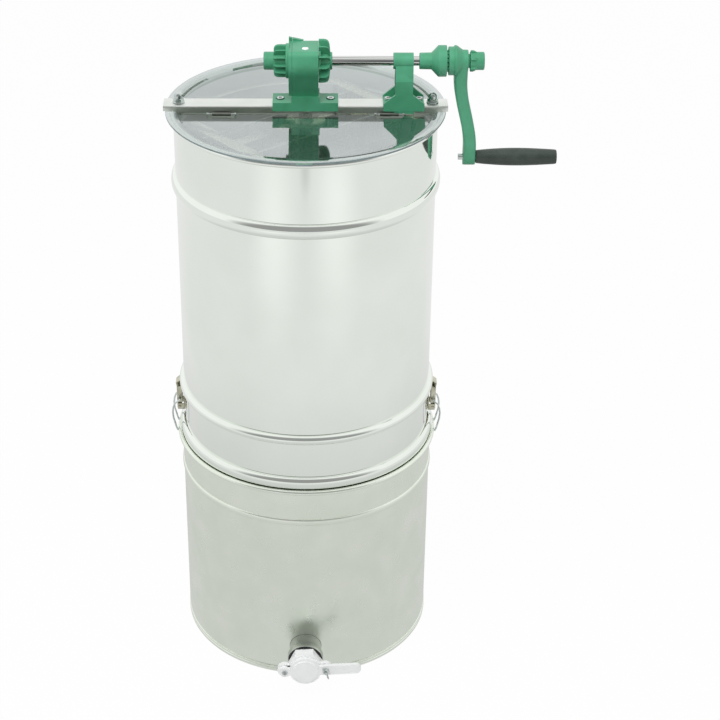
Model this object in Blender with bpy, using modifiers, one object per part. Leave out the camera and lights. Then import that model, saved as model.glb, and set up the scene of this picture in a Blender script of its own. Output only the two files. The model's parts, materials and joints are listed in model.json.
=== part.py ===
# Honey extractor: a hand cranked extracting drum latched onto a honey tank with a gate.
# Metres, +Z up. The origin is the centre of the tank's base. The gate faces -Y and the
# crank is on the +X side.

import math

import bmesh
import bpy
from mathutils import Matrix, Vector

full_turn = 2 * math.pi
half_turn = math.pi
quarter_turn = math.pi / 2

# Clearances, and the steps that round shapes are made of
gap = 0.0003                 # air between pieces that seat on each other
slack = 0.0006               # air between pieces that run in each other
overrun = 0.003              # how far a cutter passes the face that it cuts
weld_distance = 0.00001      # merges doubled vertices
wall_steps = 48              # tank, drum and lids, all in the same phase
turned_steps = 24
bolt_steps = 12
arc_steps = 6
bead_steps = 3
rim_steps = 5
strap_steps = 8
side_steps = 5
cavity_steps = 32
ear_steps = 4

# Driving sizes of tank and drum
sheet = 0.001                # stainless sheet
tank_radius = 0.1895         # outside of the wall
tank_height = 0.3427         # top of the rolled rim
tank_roll = 0.004            # radius of the rolled rim
tank_bead_height = 0.284     # middle of the small bead
tank_bead_width = 0.0108
tank_bead_depth = 0.002
seam_height = 0.009          # seam that joins the wall to the floor
seam_depth = 0.0008
floor_flange = 0.0055
drum_inset = 0.0045          # the drum fits inside the tank's rim
drum_radius = tank_radius - drum_inset    # outside of the wall, a 370 mm drum
drum_rise = 0.5153           # from the tank's rim up to the drum's
drum_top = tank_height + drum_rise
drum_roll = 0.004
drum_skirt = 0.0185          # length of wall that hangs inside the tank's rim
upper_bead_drop = 0.1025      # below the drum's rim
upper_bead_height = drum_top - upper_bead_drop
upper_bead_width = 0.022
upper_bead_depth = 0.0062
middle_bead_rise = 0.0823    # above the tank's rim
middle_bead_height = tank_height + middle_bead_rise
middle_bead_width = 0.0155
middle_bead_depth = 0.0066
foot_bead_width = 0.0184     # the drum stands on the tank's rim with this bead
foot_bead_depth = 0.0068

# Honey gate, measured outward from the drum's axis
gate_height = 0.0525
gate_tilt = math.radians(4)  # the gate is screwed home a little past level
gate_bore = 0.0195
socket_inset = 0.005         # how far the socket reaches into the tank
socket_start = tank_radius - socket_inset
socket_neck_radius = 0.024
socket_collar_radius = 0.0267
socket_neck_length = 0.0252
socket_collar_start = socket_start + socket_neck_length
socket_collar_length = 0.0118
socket_collar_end = socket_collar_start + socket_collar_length
socket_thread_radius = 0.0225
socket_thread_length = 0.014
socket_end = socket_collar_end + socket_thread_length
seal_thickness = 0.002
seal_radius = 0.0255
gate_hex_radius = 0.0265     # across the corners
gate_flange_start = socket_end + slack
gate_flange_thickness = 0.0065
gate_flange_radius = 0.0255
gate_lug_offset = 0.031
gate_pivot_lug_radius = 0.0115
gate_clamp_lug_radius = 0.010
shutter_thickness = 0.0055
shutter_radius = 0.0235
shutter_ear_radius = 0.0095
shutter_disc_radius = 0.019
shutter_disc_rise = 0.0012
handle_reach = 0.084         # from the gate's middle to the handle's end
handle_width = 0.0163
clamp_slot_radius = 0.0026
gate_screw_radius = 0.002
gate_screw_head_radius = 0.0042
gate_screw_head_height = 0.0025
clamp_screw_end = 0.0085     # how far the clamp screw stands out of the shutter
wing_nut_radius = 0.0052
wing_nut_height = 0.005
wing_span = 0.011
wing_rise = 0.0085
wing_thickness = 0.0016
wing_lean = math.radians(-70)

# Cross bar over the drum, with what holds it down
bar_overhang = 0.013
bar_half_length = drum_radius + bar_overhang
bar_width = 0.030
bar_sheet = 0.0015
bar_rise = 0.008             # above the drum's rim
bar_top = drum_top + bar_rise
bar_flange_height = 0.0104
bar_flange_bottom = bar_top - bar_flange_height
bar_bolt_inset = 0.008       # inside the drum's wall
bar_bolt_offset = drum_radius - bar_bolt_inset
bar_bolt_radius = 0.004
bar_bolt_head_radius = 0.0058
bar_bolt_head_height = 0.004
bar_bolt_reach = 0.011       # how far the bolt enters the cap nut
bar_rim_relief = 0.002       # flanges are cut back this far inside the rim
shelf_drop = 0.016           # below the drum's rim
shelf_top = drum_top - shelf_drop    # bracket on the drum's wall that the bolt pulls on
shelf_sheet = 0.0015
shelf_length = 0.022
shelf_width = 0.022
cap_nut_flange_radius = 0.0085
cap_nut_flange_height = 0.0016
cap_nut_hex_radius = 0.0075
cap_nut_hex_height = 0.0062
cap_nut_dome_radius = 0.0062
cap_nut_height = 0.0155
weld_nut_radius = 0.0062
weld_nut_height = 0.005

# Lids, clear halves that lie on the drum's rim and hinge at the bar
lid_sheet = 0.003
lid_plate_drop = 0.0037      # below the drum's rim
lid_plate_top = drum_top - lid_plate_drop
lid_overhang = 0.011
lid_radius = drum_radius + lid_overhang
lid_plate_inset = 0.0065     # where the plate turns up to the rim, inside the drum's wall
lid_plate_radius = drum_radius - lid_plate_inset
lid_riser_lean = 0.0015      # how far the riser leans outward
lid_edge_offset = 0.0165     # straight edge, from the bar's middle
lid_tab_half_width = 0.011
lid_tab_reach = 0.0045
lid_corner_cut = 0.0223      # rim cut back beside the bar, so that it can swing up
lid_corner_inset = 0.0075
lid_corner_inner = drum_radius - lid_corner_inset
notch_offset = 0.1165
notch_half_length = 0.0185
notch_depth = 0.012
centre_notch_half_length = 0.018
centre_notch_depth = 0.0135
hinge_offset = 0.0208        # hinge axis, from the bar's middle
hinge_drop = 0.0016          # below the drum's rim
hinge_height = drum_top - hinge_drop
hinge_pin_radius = 0.0014
hinge_ear_radius = 0.0024
hinge_ear_width = 0.0025
hinge_strap_sheet = 0.0008
hinge_strap_width = 0.026
hinge_eye_open = math.radians(80)

# Gearbox on its saddle
shaft_rise = 0.061           # axis of the drive shaft, above the bar
shaft_height = bar_top + shaft_rise
drive_shaft_radius = 0.0065
box_half_length = 0.018
box_radius = 0.0306
box_top_height = 0.021       # flat top of the housing, above the shaft's axis
box_top_half_depth = 0.0267
box_cavity_radius = 0.0186
neck_half_depth = 0.012      # foot of the housing, on the saddle's block
box_lug_height = 0.0043      # wedge along the rear edge of the top, highest at the left
box_lug_depth = 0.005
box_lug_length = 0.0207
saddle_half_length = 0.0455
saddle_half_depth = 0.018
saddle_rise = 0.006
saddle_top = bar_top + saddle_rise
saddle_drop = 0.0064         # the saddle's skirts, below the bar's top
saddle_bottom = bar_top - saddle_drop
saddle_block_half_length = 0.0195
saddle_block_rise = 0.014
saddle_block_top = bar_top + saddle_block_rise
saddle_bolt_offset = 0.035
saddle_bolt_radius = 0.003
saddle_bolt_head_radius = 0.005
saddle_bolt_head_height = 0.003
saddle_pocket_radius = 0.0064
saddle_pocket_depth = 0.002
pinion_pocket_radius = 0.009
pinion_pocket_drop = 0.0235
pinion_pocket_floor = shaft_height - pinion_pocket_drop
bush_radius = 0.009
bush_flange_radius = 0.0115
bush_flange = 0.0012
bush_drop = 0.003            # below the bar's top
bush_bottom = bar_top - bush_drop
cage_journal_radius = 0.007
filler_plug_radius = 0.0048
filler_plug_rise = 0.0006
filler_plug_depth = 0.002
filler_plug_offset = 0.009   # in front of the shaft's axis
cover_start = box_half_length + gap
left_plate_thickness = 0.0047
left_plate_end = cover_start + left_plate_thickness
left_flange_thickness = 0.004
left_flange_end = left_plate_end + left_flange_thickness
left_flange_radius = 0.024
left_bell_length = 0.0165
left_bell_end = left_flange_end + left_bell_length
left_bell_radius = 0.0227
left_core_radius = 0.0135
left_boss_length = 0.014
left_boss_end = left_bell_end + left_boss_length
left_boss_radius = 0.0124
left_cavity_radius = 0.0105
left_cavity_depth = 0.011
left_cavity_end = left_plate_end + left_cavity_depth
cover_wall = 0.003
right_bell_length = 0.0142
right_bell_end = cover_start + right_bell_length
right_bell_radius = 0.0302
right_core_radius = 0.0155
right_disc_radius = 0.023
right_collar_length = 0.0045
right_collar_end = right_bell_end + right_collar_length
right_collar_radius = 0.0120
right_cavity_radius = 0.0115
right_cavity_depth = 0.0052
right_cavity_end = cover_start + right_cavity_depth
cover_fins = 12
fin_half_share = 0.09        # half of a fin's thickness, as a share of the pitch
bell_edge_share = 0.62       # where a bell starts to round off, as a share of its length

# Bevel gears, with their cones meeting where the two shafts' axes cross
gear_radius = 0.0175         # pitch radius at the outer end, on the drive shaft
pinion_radius = 0.007        # pitch radius at the outer end, on the cage shaft
gear_teeth = 30
pinion_teeth = 12
gear_face_share = 0.28       # face width as a share of the cone's length
gear_addendum_share = 0.8    # of the module
gear_dedendum_share = 1.2
gear_tip_share = 0.13        # half widths of a tooth, as shares of the pitch
gear_root_share = 0.29
gear_back = 0.005            # thickness of the gear's web behind the teeth
gear_hub_length = 0.0025     # the gear's back rises this much toward its bore
pinion_hub_length = 0.0025
gear_seat_radius = 0.0026    # end of the cage shaft, which carries the pinion
gear_seat_drop = 0.0095      # below the drive shaft's axis
gear_seat_top = shaft_height - gear_seat_drop

# Support bracket for the drive shaft
support_inset = 0.0405       # inside the bar's bolt
support_offset = bar_bolt_offset - support_inset
support_boss_shift = 0.0015  # the boss stands this far toward the gearbox
support_boss_half_length = 0.01375
support_boss_radius = 0.0113
support_post_half_width = 0.0117
support_front = 0.018
support_post_set_back = 0.0005
support_top_half_depth = 0.0095
support_shoulder_drop = 0.024
support_shoulder = shaft_height - support_shoulder_drop
support_base_half_width = 0.0285
support_base_rise = 0.004
support_base_top = bar_top + support_base_rise
support_flare_rise = 0.018
support_flare_top = bar_top + support_flare_rise
support_wall = 0.0035
support_lip_half_width = 0.014
support_lip_drop = 0.0101
support_lip_bottom = bar_top - support_lip_drop
support_bolt_offset = 0.0215
bracket_bush_radius = 0.0082

# Drive shaft, dog clutch, crank and grip, measured along +X
shaft_play = 0.001           # between the shaft's end and the left boss
drive_shaft_start = shaft_play + cover_wall - left_boss_end
hub_stand_off = 0.00675      # from the support's boss
hub_start = support_offset + support_boss_half_length + hub_stand_off
hub_neck_length = 0.0165
hub_neck_end = hub_start + hub_neck_length
hub_neck_radius = 0.0116
hub_cone_length = 0.0095
hub_disc_start = hub_neck_end + hub_cone_length
hub_disc_radius = 0.0216
hub_disc_length = 0.0113
hub_disc_end = hub_disc_start + hub_disc_length
dog_teeth = 8
dog_height = 0.0024
dog_inner_radius = 0.012
dog_tip_share = 0.14
dog_root_share = 0.24
crank_travel = dog_height    # how far the crank slides, just clear of the dogs
crank_disc_start = hub_disc_end + dog_height + gap
crank_disc_radius = 0.0197
crank_disc_length = 0.007
crank_flange_start = crank_disc_start + crank_disc_length
crank_flange_radius = 0.0216
crank_cone_length = 0.0125
crank_cone_end = crank_flange_start + crank_cone_length
crank_collar_radius = 0.0154
crank_collar_length = 0.0073
crank_collar_end = crank_cone_end + crank_collar_length
crank_nose_radius = 0.0096
crank_nose_length = 0.0024
crank_nose_end = crank_collar_end + crank_nose_length
crank_throw = 0.143
arm_half_thickness = 0.009
arm_foot_half_thickness = 0.0088
arm_head_half_width = 0.0155
arm_foot_half_width = 0.0110
arm_foot_reach = 0.012       # how far the arm passes the pin
arm_set_out = 0.0105         # middle of the arm at its head, from the flange
arm_middle = crank_flange_start + arm_set_out
arm_offset = 0.0165          # how far the arm bends outward
arm_bend_start = 0.025       # below the shaft's axis
arm_bend_length = 0.102
arm_edge_share = 0.35        # chamfer of the arm's corners, as a share of its thickness
arm_sections = 9
dog_outer_radius = 0.0194
dog_land = 0.0003
knob_start = crank_nose_end + gap
knob_length = 0.0197
knob_end = knob_start + knob_length
shaft_end_inset = 0.0027
drive_shaft_end = knob_end - shaft_end_inset
knob_radius = 0.0124
knob_wing_radius = 0.0152
knob_wing_length = 0.010
knob_wing_end = knob_start + knob_wing_length
knob_wings = 6
knob_cup_radius = 0.0101
knob_cup_depth = 0.011
knob_cup_end = knob_start + knob_cup_depth
spring_wire = 0.0007
spring_radius = 0.0082
spring_turns = 3
spring_points_per_turn = 8
pin_radius = 0.004
pin_head_radius = 0.0045
pin_head_length = 0.0065
pin_end_inset = 0.006
grip_length = 0.114
grip_start_radius = 0.0093
grip_middle_radius = 0.0125
grip_end_radius = 0.0102

# Cage for two comb frames, turned about the drum's axis
cage_angle = math.radians(40)
cage_shaft_radius = 0.0095
cage_shaft_shoulder = bush_bottom - slack
cage_bar_sheet = 0.003
cage_bar_width = 0.020
cage_top_drop = 0.055        # below the drum's rim
cage_top = drum_top - cage_top_drop
cage_bottom_rise = 0.0573    # above the tank's rim
cage_bottom = tank_height + cage_bottom_rise
cage_hub_radius = 0.028
cage_hub_height = 0.010
cage_cross_inset = 0.055     # cross bars, inside the drum's wall
cage_cross_reach = drum_radius - cage_cross_inset
cage_cross_half_length = 0.097
cage_post_inset = 0.009      # posts, from the cross bars' ends
cage_post_reach = cage_cross_half_length - cage_post_inset
cage_post_radius = 0.003
screen_offset = 0.044
screen_inset = 0.035         # inside the drum's wall
screen_half_width = drum_radius - screen_inset
screen_sheet = 0.003
screen_columns = 4
screen_rows = 5
screen_rail = 0.006
cross_bar_rise = 0.0323      # above the tank's rim
cross_bar_height = tank_height + cross_bar_rise
cross_bar_width = 0.030
cross_bar_sheet = 0.003
bearing_radius = 0.016
bearing_height = 0.014
bearing_floor = 0.004
cage_pivot_radius = 0.006

# Toggle latches on both sides
latch_rise = 0.0261          # above the tank's rim
latch_bottom = tank_height + latch_rise
latch_height = 0.0387
latch_top = latch_bottom + latch_height
latch_sheet = 0.0014
latch_base_half_width = 0.0115
latch_base_depth = 0.0105
latch_ear_height = 0.0102    # the base's ears end here, below the bail's pivot
latch_ear_top = latch_bottom + latch_ear_height
latch_pivot_rise = 0.0052
latch_pivot_height = latch_bottom + latch_pivot_rise
latch_pivot_standoff = 0.0078
latch_pin_radius = 0.0015
latch_lever_half_width = 0.0092
latch_lever_start = 0.0045   # lever's flanges and outer face, from the drum's wall
latch_lever_end = 0.0117
latch_lever_foot = 0.004     # how far the lever passes its pivot
latch_tab_half_width = 0.008
latch_tab_bulge = 0.002
latch_tab_length = 0.012
latch_tab_return = 0.0055
bail_pivot_rise = 0.0136
bail_pivot_inset = 0.001
bail_wire = 0.0014
bail_half_width = 0.0145
bail_bulge = 0.0188          # how far the bail bows out from the drum's wall
bail_hook_clearance = 0.0006

# Finish of each kind of piece: colour, roughness, metallic
finishes = {
    "polished_steel": ((0.86, 0.87, 0.86), 0.12, 1.0),
    "brushed_steel": ((0.66, 0.68, 0.66), 0.35, 1.0),
    "zinc": ((0.62, 0.64, 0.60), 0.30, 1.0),
    "nickel": ((0.58, 0.57, 0.48), 0.32, 1.0),
    "green_plastic": ((0.06, 0.30, 0.16), 0.38, 0.0),
    "gear_plastic": ((0.80, 0.80, 0.76), 0.45, 0.0),
    "white_plastic": ((0.86, 0.88, 0.88), 0.40, 0.0),
    "dark_grip": ((0.07, 0.09, 0.08), 0.55, 0.0),
    "clear_sheet": ((0.70, 0.74, 0.72), 0.06, 0.0),
    "bronze": ((0.55, 0.38, 0.16), 0.40, 1.0),
    "seal_rubber": ((0.03, 0.03, 0.03), 0.70, 0.0),
}


def clear_scene():
    for item in list(bpy.data.objects):
        bpy.data.objects.remove(item, do_unlink=True)


def new_collection(name):
    group = bpy.data.collections.new(name)
    bpy.context.scene.collection.children.link(group)
    return group


def finish_material(name, finish):
    colour, roughness, metallic = finishes[finish]
    material = bpy.data.materials.new(name + "_" + finish)
    material.use_nodes = True
    shader = material.node_tree.nodes["Principled BSDF"]
    shader.inputs["Base Color"].default_value = (*colour, 1)
    shader.inputs["Roughness"].default_value = roughness
    shader.inputs["Metallic"].default_value = metallic
    return material


def add_item(name, mesh, finish=None):
    # a piece has a finish, and a cutter or an added shape has none
    item = bpy.data.objects.new(name, mesh)
    if finish:
        extractor.objects.link(item)
        mesh.materials.append(finish_material(name, finish))
    else:
        tools.objects.link(item)
        item.hide_render = True
        item.display_type = "WIRE"
    return item


def use_tool(item, tool, operation):
    change = item.modifiers.new(tool.name, "BOOLEAN")
    change.operation = operation
    change.solver = "EXACT"
    change.object = tool


def join(item, *shapes):
    for shape in shapes:
        use_tool(item, shape, "UNION")


def cut(item, *shapes):
    for shape in shapes:
        use_tool(item, shape, "DIFFERENCE")


def along_x(item):
    item.rotation_euler = (0, quarter_turn, 0)


def outward(item):
    # local Z turned to -Y, the way the gate points
    item.rotation_euler = (quarter_turn, 0, 0)


def arc(centre, radius, start, stop, steps=arc_steps):
    # points (across, up) on an arc, with angles in radians from the first axis
    points = []
    for step in range(steps + 1):
        angle = start + (stop - start) * step / steps
        points.append((centre[0] + radius * math.cos(angle), centre[1] + radius * math.sin(angle)))
    return points


def turned(name, outline, finish=None, steps=turned_steps, ring=True):
    # an outline of (radius, height) points, outer side downward, turned about Z;
    # it closes on itself as a ring, or ends on the axis
    mesh = bpy.data.meshes.new(name)
    points = [(radius, 0, height) for radius, height in outline]
    edges = [(place, place + 1) for place in range(len(points) - 1)]
    if ring:
        edges.append((len(points) - 1, 0))
    mesh.from_pydata(points, edges, [])
    item = add_item(name, mesh, finish)
    screw = item.modifiers.new("Turn", "SCREW")
    screw.axis = "Z"
    screw.angle = full_turn
    screw.steps = steps
    screw.render_steps = steps
    screw.use_merge_vertices = True
    screw.merge_threshold = weld_distance
    screw.use_smooth_shade = False
    return item


def box(name, low, high, finish=None):
    low = Vector(low)
    high = Vector(high)
    shape = bmesh.new()
    bmesh.ops.create_cube(shape, size=1)
    bmesh.ops.scale(shape, vec=high - low, verts=shape.verts)
    mesh = bpy.data.meshes.new(name)
    shape.to_mesh(mesh)
    shape.free()
    item = add_item(name, mesh, finish)
    item.location = (low + high) / 2
    return item


def rod(name, radius, start, stop, finish=None, sides=turned_steps, phase_share=1 / 3):
    # the phase, a share of one side, keeps a cutter's corners off its neighbour's corners
    start = Vector(start)
    stop = Vector(stop)
    shape = bmesh.new()
    bmesh.ops.create_cone(shape, cap_ends=True, segments=sides, radius1=radius, radius2=radius,
                          depth=(stop - start).length)
    phase = Matrix.Rotation(full_turn / sides * phase_share, 3, "Z")
    bmesh.ops.rotate(shape, matrix=phase, verts=shape.verts)
    mesh = bpy.data.meshes.new(name)
    shape.to_mesh(mesh)
    shape.free()
    item = add_item(name, mesh, finish)
    item.location = (start + stop) / 2
    item.rotation_mode = "QUATERNION"
    item.rotation_quaternion = (stop - start).to_track_quat("Z", "Y")
    return item


def curve_to_mesh(name, curve, finish):
    # the evaluated curve as one welded mesh
    holder = bpy.data.objects.new(name + "_curve", curve)
    tools.objects.link(holder)
    graph = bpy.context.evaluated_depsgraph_get()
    mesh = bpy.data.meshes.new_from_object(holder.evaluated_get(graph))
    mesh.name = name
    bpy.data.objects.remove(holder, do_unlink=True)
    shape = bmesh.new()
    shape.from_mesh(mesh)
    bmesh.ops.remove_doubles(shape, verts=shape.verts, dist=weld_distance)
    bmesh.ops.recalc_face_normals(shape, faces=shape.faces)
    shape.to_mesh(mesh)
    shape.free()
    mesh.materials.clear()
    return add_item(name, mesh, finish)


def plate(name, outlines, thickness, finish=None):
    # flat outlines in local X and Y, the first one outside and the others holes in it
    curve = bpy.data.curves.new(name, "CURVE")
    curve.dimensions = "2D"
    curve.fill_mode = "BOTH"
    curve.extrude = thickness / 2
    for outline in outlines:
        spline = curve.splines.new("POLY")
        spline.points.add(len(outline) - 1)
        for point, (across, up) in zip(spline.points, outline):
            point.co = (across, up, 0, 1)
        spline.use_cyclic_u = True
    return curve_to_mesh(name, curve, finish)


def front_plate(name, outline, near, far, finish=None, holes=()):
    # an outline in X and Z, between two depths in Y
    item = plate(name, [outline, *holes], abs(far - near), finish)
    item.rotation_euler = (quarter_turn, 0, 0)
    item.location = (0, (near + far) / 2, 0)
    return item


def side_plate(name, outline, near, far, finish=None, holes=()):
    # an outline in Y and Z, between two places in X
    item = plate(name, [outline, *holes], abs(far - near), finish)
    item.rotation_euler = (quarter_turn, 0, quarter_turn)
    item.location = ((near + far) / 2, 0, 0)
    return item


def wire(name, points, radius, finish=None, fineness=1):
    curve = bpy.data.curves.new(name, "CURVE")
    curve.dimensions = "3D"
    curve.bevel_depth = radius
    curve.bevel_resolution = fineness
    curve.use_fill_caps = True
    spline = curve.splines.new("POLY")
    spline.points.add(len(points) - 1)
    for point, place in zip(spline.points, points):
        point.co = (*place, 1)
    return curve_to_mesh(name, curve, finish)


def lofted(name, rings, finish=None, ring=True):
    # rings of as many points each, joined in order; it closes on itself or gets two caps
    shape = bmesh.new()
    rows = [[shape.verts.new(point) for point in points] for points in rings]
    count = len(rows[0])
    pairs = list(zip(rows, rows[1:]))
    if ring:
        pairs.append((rows[-1], rows[0]))
    for first, second in pairs:
        for place in range(count):
            after = (place + 1) % count
            shape.faces.new((first[place], first[after], second[after], second[place]))
    if not ring:
        shape.faces.new(rows[0])
        shape.faces.new(rows[-1])
    bmesh.ops.recalc_face_normals(shape, faces=shape.faces)
    mesh = bpy.data.meshes.new(name)
    shape.to_mesh(mesh)
    shape.free()
    return add_item(name, mesh, finish)


def toothed_ring(teeth, tip, root, tip_share, root_share, turn=0):
    # four points for each tooth; tip and root are (radius, height) pairs
    points = []
    pitch = full_turn / teeth
    for tooth in range(teeth):
        for share, (radius, height) in ((-root_share, root), (-tip_share, tip),
                                        (tip_share, tip), (root_share, root)):
            angle = turn + pitch * (tooth + share)
            points.append((radius * math.cos(angle), radius * math.sin(angle), height))
    return points


def plain_ring(teeth, place, tip_share, root_share, turn=0):
    return toothed_ring(teeth, place, place, tip_share, root_share, turn)


def hexagon(name, radius, bottom, top, finish=None, bore=0):
    # a six sided prism about Z, with flats toward +Y and -Y
    item = rod(name, radius, (0, 0, bottom), (0, 0, top), finish, sides=6, phase_share=0)
    if bore:
        cut(item, rod(name + "_bore", bore, (0, 0, bottom - overrun), (0, 0, top + overrun)))
    return item


def half_round(radius, height, width, depth, steps=bead_steps):
    # a rolled bead in a wall's outline, from its top edge to its bottom edge
    points = []
    for step in range(steps + 1):
        angle = half_turn * step / steps
        points.append((radius + depth * math.sin(angle), height + width / 2 * math.cos(angle)))
    return points


def rolled_rim(radius, top, roll):
    # solid rolled edge outside a wall: from the wall's inside over the top to its outside
    centre = (radius - sheet + roll, top - roll)
    meeting = math.acos((sheet - roll) / roll)
    return arc(centre, roll, half_turn, -meeting, rim_steps)


def make_tank():
    wall = rolled_rim(tank_radius, tank_height, tank_roll)
    wall += half_round(tank_radius, tank_bead_height, tank_bead_width, tank_bead_depth, steps=2)
    wall += [
        (tank_radius, seam_height),
        (tank_radius + seam_depth, seam_height - seam_depth),
        (tank_radius + seam_depth, 0),
        (tank_radius - sheet, 0),
    ]
    shell = turned("tank_shell", wall, "brushed_steel", wall_steps)
    hole = rod("socket_hole", socket_neck_radius + gap, (0, -socket_start, gate_height),
               (0, -socket_collar_start, gate_height))
    cut(shell, hole)

    edge = tank_radius - sheet - gap
    floor = [
        (0, sheet),
        (edge - sheet, sheet),
        (edge - sheet, floor_flange),
        (edge, floor_flange),
        (edge, 0),
        (0, 0),
    ]
    turned("tank_floor", floor, "brushed_steel", wall_steps, ring=False)


def lobed_outline(middle_radius, left_radius, right_radius, offset):
    # three circles in a row with straight sides between them
    left_turn = math.acos((middle_radius - left_radius) / offset)
    right_turn = math.acos((middle_radius - right_radius) / offset)
    points = arc((0, 0), middle_radius, right_turn, half_turn - left_turn)
    points += arc((-offset, 0), left_radius, half_turn - left_turn, half_turn + left_turn)
    points += arc((0, 0), middle_radius, half_turn + left_turn, full_turn - right_turn)
    points += arc((offset, 0), right_radius, -right_turn, right_turn)
    return points


def seat_on_gate(*items):
    # pieces modelled about the gate's axis, with local Z outward from the drum's axis
    for item in items:
        item.parent = gate_axis


def make_gate():
    socket = turned("gate_socket", [
        (gate_bore, socket_end),
        (socket_thread_radius, socket_end),
        (socket_thread_radius, socket_collar_end),
        (socket_collar_radius, socket_collar_end),
        (socket_collar_radius, socket_collar_start),
        (socket_neck_radius, socket_collar_start),
        (socket_neck_radius, socket_start),
        (gate_bore, socket_start),
    ], "brushed_steel")
    seal_start = socket_collar_end + gap
    seal = turned("gate_seal", [
        (socket_thread_radius + gap, seal_start + seal_thickness),
        (seal_radius, seal_start + seal_thickness),
        (seal_radius, seal_start),
        (socket_thread_radius + gap, seal_start),
    ], "seal_rubber")

    hex_start = seal_start + seal_thickness + gap
    flange_end = gate_flange_start + gate_flange_thickness
    body = hexagon("gate_body", gate_hex_radius, hex_start, gate_flange_start + gap, "white_plastic")
    lugs = lobed_outline(gate_flange_radius, gate_pivot_lug_radius, gate_clamp_lug_radius,
                         gate_lug_offset)
    flange = plate("gate_flange", [lugs], gate_flange_thickness)
    flange.location = (0, 0, gate_flange_start + gate_flange_thickness / 2)
    thread = rod("gate_thread", socket_thread_radius + gap, (0, 0, hex_start - overrun),
                 (0, 0, socket_end + gap))
    bore = rod("gate_bore", gate_bore, (0, 0, hex_start), (0, 0, flange_end + overrun))
    join(body, flange)
    cut(body, thread, bore)

    shutter_start = flange_end + gap
    shutter_end = shutter_start + shutter_thickness
    outline = arc((0, 0), shutter_radius, math.asin(handle_width / 2 / shutter_radius),
                  half_turn - math.acos((shutter_radius - shutter_ear_radius) / gate_lug_offset))
    ear_turn = math.acos((shutter_radius - shutter_ear_radius) / gate_lug_offset)
    outline += arc((-gate_lug_offset, 0), shutter_ear_radius, half_turn - ear_turn,
                   half_turn + ear_turn)
    outline += arc((0, 0), shutter_radius, half_turn + ear_turn,
                   full_turn - math.asin(handle_width / 2 / shutter_radius))
    outline += arc((handle_reach - handle_width / 2, 0), handle_width / 2, -quarter_turn, quarter_turn)
    shutter = plate("gate_shutter", [outline], shutter_thickness, "white_plastic")
    shutter.data.transform(Matrix.Translation((0, 0, shutter_start + shutter_thickness / 2)))
    disc = rod("shutter_disc", shutter_disc_radius, (0, 0, shutter_end - shutter_disc_rise),
               (0, 0, shutter_end + shutter_disc_rise))
    pivot_hole = rod("shutter_pivot_hole", gate_screw_radius + gap,
                     (-gate_lug_offset, 0, shutter_start - overrun),
                     (-gate_lug_offset, 0, shutter_end + overrun), sides=bolt_steps)
    slot_outline = arc((gate_lug_offset, 0), clamp_slot_radius, 0, half_turn)
    slot_outline += [(gate_lug_offset - clamp_slot_radius, -shutter_radius),
                     (gate_lug_offset + clamp_slot_radius, -shutter_radius)]
    slot = plate("clamp_slot", [slot_outline], shutter_thickness + overrun)
    slot.location = (0, 0, shutter_start + shutter_thickness / 2)
    join(shutter, disc)
    cut(shutter, pivot_hole, slot)
    # the shutter turns about the pivot screw, so its origin is moved there
    shutter.data.transform(Matrix.Translation((gate_lug_offset, 0, 0)))
    shutter.location = (-gate_lug_offset, 0, 0)

    head_start = shutter_end + gap
    pivot = turned("gate_pivot_screw", [
        (0, head_start + gate_screw_head_height),
        (gate_screw_head_radius / 2, head_start + gate_screw_head_height),
        (gate_screw_head_radius, head_start + gate_screw_head_height / 2),
        (gate_screw_head_radius, head_start),
        (gate_screw_radius, head_start),
        (gate_screw_radius, gate_flange_start + gap),
        (0, gate_flange_start + gap),
    ], "zinc", bolt_steps, ring=False)
    pivot.location = (-gate_lug_offset, 0, 0)
    head_end = gate_flange_start - gap
    clamp = turned("gate_clamp_screw", [
        (0, shutter_end + clamp_screw_end),
        (gate_screw_radius, shutter_end + clamp_screw_end),
        (gate_screw_radius, head_end),
        (gate_screw_head_radius, head_end),
        (gate_screw_head_radius, head_end - gate_screw_head_height),
        (0, head_end - gate_screw_head_height),
    ], "zinc", bolt_steps, ring=False)
    clamp.location = (gate_lug_offset, 0, 0)
    for side, offset in (("pivot", -gate_lug_offset), ("clamp", gate_lug_offset)):
        hole = rod("gate_" + side + "_hole", gate_screw_radius + gap,
                   (offset, 0, gate_flange_start - overrun), (offset, 0, flange_end + overrun),
                   sides=bolt_steps)
        cut(body, hole)
        seat_on_gate(hole)

    nut_start = shutter_end + gap
    nut = turned("gate_wing_nut", [
        (gate_screw_radius + gap, nut_start + wing_nut_height),
        (wing_nut_radius * 3 / 4, nut_start + wing_nut_height),
        (wing_nut_radius, nut_start),
        (gate_screw_radius + gap, nut_start),
    ], "zinc", bolt_steps)
    for side, name in ((1, "wing_right"), (-1, "wing_left")):
        wing_outline = [
            (side * wing_nut_radius * 3 / 5, nut_start + wing_nut_height / 5),
            (side * wing_nut_radius, nut_start + wing_nut_height / 5),
            (side * wing_span, nut_start + wing_rise * 2 / 3),
            (side * wing_span, nut_start + wing_rise),
            (side * wing_span * 2 / 3, nut_start + wing_rise),
            (side * wing_nut_radius * 3 / 5, nut_start + wing_nut_height * 4 / 5),
        ]
        wing = plate(name, [wing_outline[::side]], wing_thickness)
        wing.data.transform(Matrix.Rotation(quarter_turn, 4, "X"))
        wing.parent = nut
        join(nut, wing)
    nut.location = (gate_lug_offset, 0, 0)
    nut.rotation_euler = (0, 0, wing_lean)

    seat_on_gate(socket, seal, body, flange, thread, bore, shutter, disc, pivot_hole, slot,
                 pivot, clamp, nut)


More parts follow.
